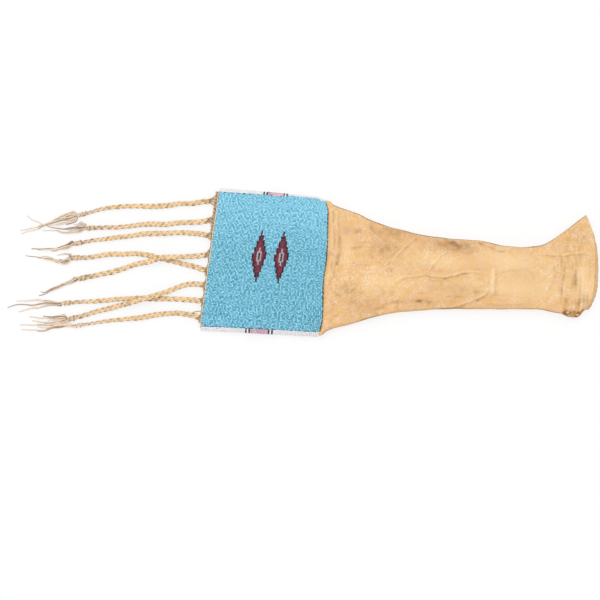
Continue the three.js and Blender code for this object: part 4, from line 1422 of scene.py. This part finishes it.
class PIPEBAG_OT_fringe(bpy.types.Operator):
    """Plait the eight braids with their knots and loose ends, and lay the heading that they hang from"""

    bl_idname = "pipe_bag.fringe"
    bl_label = "Plaited fringe"

    def execute(self, context):
        fringe = context.scene.pipe_bag_fringe
        rng = np.random.default_rng(FRINGE_SEED)
        plaited = strand_material("plaited_buckskin_thong", fringe.straw, fringe.worn, streak_length=9.0,
                                  faded=fringe.grey)
        loose = strand_material("weathered_buckskin_thong", fringe.grey, fringe.worn, streak_length=14.0)
        bound = strand_material("twisted_sinew_binding", fringe.tie, fringe.worn, streak_length=2.0,
                                faded=fringe.grey)
        cords = zip(BRAID_ROUTES, TAIL_ROUTES, TAIL_SPREAD, KNOT_DIRT, KNOT_FADING, SLIMMING)
        for i, (route, tails, spread, soil, fading, slimming) in enumerate(cords, start=1):
            line = braid_line(route)
            points, faces, dirt = plait(
                line, fringe.strand / MM, fringe.plait_length / MM, soil, slimming, rng)
            braid = add_piece(f"braid_{i}", points, faces, plaited, "fringe_cord", [f"fringe_braid_{i}"],
                              {"strand_dirt": dirt, "strand_fading": faded_at(points, line, fading)})
            heading = line[-1] - line[-4]
            heading[2] = 0
            heading /= np.linalg.norm(heading)
            place = line[-1] + UP * KNOT_LIFT
            body, turns = knot_wrap(place, heading, 1 - KNOT_SLIMMING * slimming, rng)
            knot = add_piece(f"knot_{i}", *body, plaited, "fringe_cord", [f"fringe_knot_{i}"],
                             {"strand_dirt": knot_soil(body[0], soil),
                              "strand_fading": np.full(len(body[0]), fading)})
            tie = add_piece(f"tie_{i}", *turns, bound, "fringe_cord",
                            values={"strand_dirt": knot_soil(turns[0], soil),
                                    "strand_fading": np.full(len(turns[0]), TIE_FADING * fading)})
            end = place + heading * (KNOT_LENGTH - TAIL_OVERLAP)
            points, faces, dirt = tail_strands(
                end, heading, tails, spread, fringe.thong / MM, soil, rng)
            tail = add_piece(f"tail_{i}", points, faces, loose, "fringe_cord", [f"fringe_tail_{i}"],
                             {"strand_dirt": dirt})
        points, faces = merged(heading_rope(rng) + head_thongs(rng))
        # Darker toward the floor
        add_piece("fringe_heading", points, faces, plaited, "hide", ["fringe_strip"],
                  {"strand_dirt": 0.5 + 0.5 * smooth_step(*HEADING_DARKENS, points[:, 2])})
        return {"FINISHED"}


def hide_ring(x, inset):
    """A closed line round the bag from the far side over the top, how flat it lies and its shares."""
    over = np.cos(math.pi * np.arange(TOP_STEPS) / TOP_STEPS)
    under = -np.cos(math.pi * np.arange(UNDER_STEPS) / UNDER_STEPS)
    share = np.concatenate([over, under])
    top = np.concatenate([np.ones(TOP_STEPS, bool), np.zeros(UNDER_STEPS, bool)])
    points, bulge = hide_points(np.full(share.shape, float(x)), share, top, inset)
    return points, bulge * top, share


def bare_share(x):
    """0 under the beads, 1 on the bare hide."""
    return smooth_step(*BARE_FROM, x)


def tuft_at(x, share):
    """1 in the rough tuft at the near corner of the mouth, 0 elsewhere."""
    along = smooth_step(*TUFT_FROM, x) * smooth_step(*TUFT_TO, x)
    return along * smooth_step(*TUFT_ACROSS, -share)


def corner_pull(x):
    """How far the far edge is drawn in across the bag about the panel's corner at the neck."""
    return CORNER_PULL * smooth_step(*CORNER_PULL_FROM, x) * smooth_step(*CORNER_PULL_TO, x)


def drawn_in(x, y, reach):
    """The same pull at places further in from that edge, where it fades."""
    return corner_pull(x) * np.clip(y / reach, 0, 1) ** EDGE_FADE


def waver(points, share, x):
    """The uneven cut of the hide's side edges, as a move across the bag."""
    edge = points * EDGE_DRAWN_OUT
    side_cut = SIDE_CUT * noise_at(edge, "side_cut")
    rough = TUFT_CUT * tuft_at(x, share) * noise_at(edge, "tuft_cut")
    dip = np.where(share > 0, corner_pull(x), 0)
    bulge = sum(out * bell(x - place, breadth) for place, breadth, out in NEAR_BULGES) * (share < 0)
    return np.abs(share) ** EDGE_FADE * (bare_share(x) * (side_cut + rough) - dip + bulge)


def hide_skin(fold_height):
    """Points, faces, darkness and paleness of the hollow hide, out along its outside and back inside."""
    count = TOP_STEPS + UNDER_STEPS
    pouch = np.linspace(BOTTOM, POUCH_END - 4, POUCH_RINGS)
    neck = np.arange(POUCH_END - 2, MOUTH, NECK_RING_STEP)
    rings = []
    darks = []
    pales = []
    for x in (*pouch, *neck, MOUTH):
        inset = WALL * smooth_step(POUCH_START, BOTTOM, x)
        points, flat, share = hide_ring(x, inset)
        height, dark, pale = hide_relief(points)
        bare = bare_share(x)
        points[:, 1] += waver(points, share, x)
        points[:, 2] += bare * flat * fold_height * height
        # Painted shade where the hide rolls away at its far and near side
        side = FAR_SIDE_SHADE * smooth_step(*FAR_SHADE, share) + NEAR_SIDE_SHADE * smooth_step(*NEAR_SHADE, -share)
        # Painted shade in the rough tuft at the mouth's near corner
        side += tuft_at(x, share) * mottled(points, "tuft_shade")
        # Hide under the beads is painted dark as their shade, so that it doesn't shine through between them
        covered = smooth_step(*COVERED_FROM, x) * smooth_step(*COVERED_TO, x)
        rings.append(points)
        exposed = bare * (dark * smooth_step(*DARK_SHOWS, flat) + side)
        darks.append(np.clip(exposed + COVERED_SHADE * covered, 0, 1))
        pales.append(bare * pale * flat)
    for x in np.linspace(HOLLOW_BOTTOM, MOUTH, INNER_RINGS)[::-1]:
        points, _, share = hide_ring(x, WALL)
        points[:, 1] += waver(points, share, x)
        rings.append(points)
        # Painted shade deep inside the hollow, painted light toward the lip
        darks.append(np.full(count, INSIDE_SHADE * smooth_step(*INSIDE_DARKENS, x)))
        pales.append(np.full(count, INSIDE_LIGHT * smooth_step(*INSIDE_PALES, x)))
    faces = ring_faces(len(rings), count)
    # A fan of faces about a middle point closes the bottom, outside and inside
    points = np.concatenate([*rings, [rings[0].mean(axis=0), rings[-1].mean(axis=0)]])
    first = len(points) - 2
    last = (len(rings) - 1) * count
    for j in range(count):
        after = (j + 1) % count
        faces.append((first, j, after))
        faces.append((first + 1, last + after, last + j))
    faces = [tuple(reversed(face)) for face in faces]
    return points, faces, np.concatenate([*darks, [0, 0]]), np.concatenate([*pales, [0, 0]])


class PIPEBAG_OT_hide(bpy.types.Operator):
    """Shape the sewn hide with its creases, neck and flared mouth"""

    bl_idname = "pipe_bag.hide"
    bl_label = "Hide"

    def execute(self, context):
        hide = context.scene.pipe_bag_hide
        points, faces, dark, pale = hide_skin(hide.fold_height)
        piece = add_piece("sewn_hide", points, faces, buckskin_material(), "hide",
                          ["hide_pouch", "hide_neck"], {"smoke": dark, "wear": pale})
        return {"FINISHED"}


def bead_bodies(middles, along, upward, sizes):
    """Points and faces of many beads: rounded rings on a thread, each scaled by its size."""
    across = np.cross(along, upward)
    rings = []
    for place, width in BEAD_RINGS:
        reach = width * BEAD / 2 * BEAD_SWELL
        ring = (np.cos(BEAD_TURNS)[None, :, None] * across[:, None, :] * BEAD_BREADTH
                + np.sin(BEAD_TURNS)[None, :, None] * upward[:, None, :]) * reach
        rings.append(ring + along[:, None, :] * place * BEAD_ROW)
    shape = np.concatenate(rings, axis=1) * sizes[:, None, None]
    points = (middles[:, None, :] + shape).reshape(-1, 3)
    pattern = closed_faces(len(BEAD_RINGS), len(BEAD_TURNS))
    starts = range(0, len(points), BEAD_CORNERS)
    faces = [tuple(start + i for i in face) for start in starts for face in pattern]
    return points, faces


def add_beads(name, middles, along, upward, material, slot, replaces, rng, paler=0.0):
    """A field of strung beads, uneven in place, size and tone, with painted light; some chosen paler or
    darker.
    """
    beads = bpy.context.scene.pipe_bag_beads
    count = len(middles)
    placed = middles + rng.normal(0, beads.unevenness / MM, middles.shape)
    sizes = np.clip(rng.normal(1.0, BEAD_SIZES, count), *BEAD_SIZE_BOUNDS)
    tilted = unit(along + rng.normal(0, BEAD_TILT, along.shape))
    points, faces = bead_bodies(placed, tilted, upward, sizes)
    # Most beads lie turned the other way from the next thread's, shown by painted light and shade,
    # and the far side is painted paler, as light that it catches
    side_by_side = np.lexsort((middles[:, 0], np.round(middles[:, 1] / BEAD_ROW)))
    turned = np.empty(count)
    turned[side_by_side] = TURNED_LIGHT * np.cumprod(np.where(rng.random(count) < UNTURNED, 1, -1))
    far_light = FAR_SIDE_LIGHT * smooth_step(*FAR_SIDE_LIGHT_ACROSS, middles[:, 1])
    shade = np.clip(rng.normal(USUAL_TONE, BEAD_TONE, count) + turned + far_light + paler, 0, 1)
    return add_piece(name, points, faces, material, slot, replaces,
                     {"bead_shade": np.repeat(shade, BEAD_CORNERS)})


def bow_at(x, y):
    """How far the beads near the neck run out toward the mouth: the panel's sewn edge isn't straight."""
    return neck_edge(y) * smooth_step(*NECK_EDGE_SHOWS, along_pouch(x))


def leaned(x, y):
    """Place along the bag of a bead of the column at x that lies at y across it."""
    return x + lean_at(x) * y + bow_at(x, y)


def column_x(column):
    """Place along the bag of the middle of a bead column."""
    return POUCH_START + (column + 0.5) * COLUMN


def diamond_colour(column, row):
    """Number and colour of the diamond that a bead belongs to, or nothing where it is in the ground."""
    for number, middle in enumerate(DIAMOND_COLUMNS, start=1):
        step = abs(column - middle)
        for colour, halves in (("black", DIAMOND_BLACK), ("white", DIAMOND_WHITE), ("red", DIAMOND_RED)):
            if step < len(halves) and abs(row + 0.5) < halves[step]:
                return number, colour
    return None


def outline_tones(beads):
    """How much paler each diamond bead is by its columns from the outline, whose own beads are darker."""
    tones = []
    for column, row in beads:
        step = min(abs(column - middle) for middle in DIAMOND_COLUMNS)
        outside = sum(abs(row + 0.5) < half for half in DIAMOND_RED[step + 1:])
        tones.append(OUTLINE_TONES[min(outside, len(OUTLINE_TONES) - 1)])
    return np.array(tones)


def panel_places(far_roll, near_roll, more_rows, height_at, up):
    """Bead columns and rows of a panel, with their middles, thread directions and ways up."""
    grid = []
    places = []
    for column in range(COLUMNS):
        x = column_x(column)
        diamond = min(DIAMOND_COLUMNS, key=lambda middle: abs(column - middle))
        middle = DIAMOND_MIDDLE + DIAMOND_RISE * (column - diamond)
        lowest = round((near_roll + GAP - near_at(x) - middle) / BEAD_ROW) - more_rows
        highest = round((far_at(x) - far_roll - GAP - middle) / BEAD_ROW)
        highest += more_rows if along_pouch(x) > FAR_CREEP else 0
        grid += [(column, row) for row in range(lowest, highest)]
        places += [(x, middle + (row + 0.5) * BEAD_ROW) for row in range(lowest, highest)]
    x, y = np.array(places).T
    across = y - drawn_in(x, y, far_at(x))
    middles = np.stack([leaned(x, y), across, height_at(x)], axis=-1)
    along = unit(np.stack([lean_at(x), np.ones_like(x), np.zeros_like(x)], axis=-1))
    slope = (height_at(x + 0.5) - height_at(x - 0.5)) * up
    upward = unit(np.stack([-slope, np.zeros_like(x), np.ones_like(x)], axis=-1)) * up
    return grid, middles, along, upward


class PIPEBAG_OT_panels(bpy.types.Operator):
    """String the beads of the front panel with its two diamonds, and of the back panel"""

    bl_idname = "pipe_bag.panels"
    bl_label = "Bead panels"

    def execute(self, context):
        beads = context.scene.pipe_bag_beads
        rng = np.random.default_rng(PANEL_SEED)
        glass = {
            "turquoise": bead_material("turquoise", beads.turquoise),
            "red": bead_material("red", beads.red),
            "white": bead_material("pearl", beads.pearl),
            "black": bead_material("black", beads.black),
        }
        grid, middles, along, upward = panel_places(
            ROUND_TIGHT, ROUND_WIDE, 1, lambda x: top_at(x) + GAP + BEAD / 2, 1)
        middles[:, 2] += PANEL_SWELL * noise_at(middles, "panel_swell")
        fields = {}
        for i, (column, row) in enumerate(grid):
            fields.setdefault(diamond_colour(column, row), []).append(i)
        for field, chosen in fields.items():
            colour = field[1] if field else "turquoise"
            node = f"diamond_{field[0]}_{colour}" if field else "front_bead_panel"
            paler = outline_tones([grid[i] for i in chosen]) if colour == "red" else 0.0
            add_beads(f"{node}_strung", middles[chosen], along[chosen], upward[chosen], glass[colour],
                      f"{colour}_beads", [node], rng, paler)
        _, middles, along, upward = panel_places(
            ROUND_WIDE, ROUND_TIGHT, 0, lambda x: np.full_like(x, BEAD / 2), -1)
        add_beads("back_bead_panel_strung", middles, along, upward, glass["turquoise"], "turquoise_beads",
                  ["back_bead_panel"], rng)
        return {"FINISHED"}


def lane_row(x, side):
    """Middle, thread direction and way out of each bead of one row round the side of the pouch."""
    reach = reach_at(x, side)
    low = BEAD + GAP
    high = top_at(x)
    middle = (low + high) / 2
    lift = GAP + BEAD / 2
    angle = np.linspace(math.pi / 2, -math.pi / 2, LANE_STEPS)
    tight = (side > 0) == (angle >= 0)
    roll = np.where(tight, ROUND_TIGHT, ROUND_WIDE)
    y = side * (reach - roll + (roll + lift) * np.cos(angle)) - (corner_pull(x) if side > 0 else 0)
    z = middle + ((high - low) / 2 + lift) * np.sin(angle)
    line = np.stack([leaned(x, y), y, z], axis=-1)
    run = np.linalg.norm(np.diff(line, axis=0), axis=1).sum()
    count = max(FEWEST_BEADS, int(run / BEAD_ROW))
    first = 1 if side > 0 and along_pouch(x) <= FAR_CREEP else 3
    beads = even_steps(line, run / (2 * count))[first::2]
    along = unit(np.gradient(beads, axis=0))
    outward = unit(np.cross(along, ALONG)) * side
    return beads, along, outward


class PIPEBAG_OT_lanes(bpy.types.Operator):
    """Sew the coloured bead lanes round both sides of the pouch"""

    bl_idname = "pipe_bag.lanes"
    bl_label = "Side lanes"

    def execute(self, context):
        beads = context.scene.pipe_bag_beads
        rng = np.random.default_rng(LANE_SEED)
        for name, side, lane in (("far", 1, FAR_LANE), ("near", -1, NEAR_LANE)):
            start = 0
            for number, (colour, end) in enumerate(lane, start=1):
                rows = [lane_row(column_x(i), side) for i in range(start, end)]
                middles, along, outward = (np.concatenate(parts) for parts in zip(*rows))
                material = bead_material(colour, getattr(beads, colour))
                node = f"{name}_lane_{number}_{colour}"
                add_beads(f"{node}_strung", middles, along, outward, material, f"{colour}_beads",
                          [node], rng)
                start = end
        return {"FINISHED"}


def sew(name, line, thread, material, dirt):
    """A sewn line of thread along the hide, evenly dirty."""
    points, faces = tube(line, thread, THIN_SIDES)
    add_piece(name, points, faces, material, "hide", values={"strand_dirt": np.full(len(points), dirt)})


class PIPEBAG_OT_edging(bpy.types.Operator):
    """Lay the sewing thread along both ends of the front panel, whip the side seams and hem the mouth"""

    bl_idname = "pipe_bag.edging"
    bl_label = "Edging thread"

    def execute(self, context):
        fringe = context.scene.pipe_bag_fringe
        hide = context.scene.pipe_bag_hide
        pale = strand_material("pale_sinew_sewing", fringe.thread, fringe.worn, streak_length=4.0)
        # The dark thread at the neck also stands for the shade line along the panel's raised edge
        dark = strand_material("smoked_sinew_sewing", fringe.dark_thread, fringe.worn, streak_length=4.0)
        whipped = strand_material("whipped_hide_edge", hide.seam, fringe.worn, streak_length=6.0)
        for name, column, material, thread in (
                ("bottom_edging", -0.45, pale, 0.55), ("neck_edging", COLUMNS + 0.2, dark, 0.75)):
            x = POUCH_START + column * COLUMN
            inside = float(np.clip(x, POUCH_START, POUCH_END))
            reach = far_at(inside)
            y = np.linspace(reach - ROUND_TIGHT, ROUND_WIDE - near_at(inside), EDGING_STEPS)
            wave = sum(rise * np.sin(y / length) for rise, length in EDGING_WAVES)
            height = top_at(inside) + EDGING_LIFT + 0.5 * wave
            line = np.stack([leaned(x, y) + wave, y - drawn_in(x, y, reach), height], axis=-1)
            sew(name, line, thread * uneven_run(EDGING_TWIST, y, 0), material, dirt=0.1)
        for name, side, sewn in (("far_seam", 1.0, 0.32), ("near_seam", -1.0, 0.3)):
            x = np.arange(SEAM_FROM, MOUTH, SEAM_STEP)
            worn = noise_at(np.stack([x, 0 * x + 40 * side, 0 * x], axis=-1), "seam_wear")
            twist = SEAM_TWIST[0] * np.sin(x / SEAM_TWIST[1])
            thread = np.maximum(SEAM_LEAST, sewn + SEAM_WEAR * worn + twist)
            share = side * (1 - SEAM_DEPTH * thread / reach_at(x, side))
            line, _ = hide_points(x, share, True, 0.0)
            line[:, 1] += waver(line, share, x)
            sew(name, line, thread, whipped, dirt=0.2)
        share = np.linspace(*HEM_ENDS, HEM_STEPS)
        line, _ = hide_points(np.full_like(share, MOUTH - HEM_INSET), share, False, WALL / 2)
        thread = HEM_RADIUS + HEM_UNEVEN * np.sin(share * HEM_WAVES)
        sew("mouth_hem", line, thread, whipped, dirt=0.3)
        return {"FINISHED"}


class PIPEBAG_PT_panel(bpy.types.Panel):
    """Lists the pieces of the bag and what can be changed on them"""

    bl_idname = "PIPEBAG_PT_panel"
    bl_label = "Pipe bag"
    bl_space_type = "VIEW_3D"
    bl_region_type = "UI"
    bl_category = "Pipe bag"

    def draw(self, context):
        layout = self.layout
        for group_name in GROUPS:
            group = getattr(context.scene, group_name)
            box = layout.box()
            for key in group.bl_rna.properties.keys():
                if key not in ("rna_type", "name"):
                    box.prop(group, key)
        for operator in OPERATORS:
            layout.operator(operator.bl_idname)


GROUPS = {
    "pipe_bag_stage": PipeBagStage,
    "pipe_bag_hide": PipeBagHide,
    "pipe_bag_beads": PipeBagBeads,
    "pipe_bag_fringe": PipeBagFringe,
}
OPERATORS = (
    PIPEBAG_OT_stage, PIPEBAG_OT_fringe, PIPEBAG_OT_hide, PIPEBAG_OT_panels, PIPEBAG_OT_lanes,
    PIPEBAG_OT_edging,
)


def register():
    """Make the groups of settings, the operators and the panel known to Blender."""
    for name, group in GROUPS.items():
        bpy.utils.register_class(group)
        setattr(bpy.types.Scene, name, bpy.props.PointerProperty(type=group))
    for operator in OPERATORS:
        bpy.utils.register_class(operator)
    bpy.utils.register_class(PIPEBAG_PT_panel)


def unregister():
    """Take away what register has made known."""
    bpy.utils.unregister_class(PIPEBAG_PT_panel)
    for operator in reversed(OPERATORS):
        bpy.utils.unregister_class(operator)
    for name, group in GROUPS.items():
        delattr(bpy.types.Scene, name)
        bpy.utils.unregister_class(group)


def main():
    """Build the bag on its stage."""
    register()
    bpy.ops.pipe_bag.stage()
    bpy.ops.pipe_bag.fringe()
    bpy.ops.pipe_bag.hide()
    bpy.ops.pipe_bag.panels()
    bpy.ops.pipe_bag.lanes()
    bpy.ops.pipe_bag.edging()


if __name__ == "__main__":
    main()
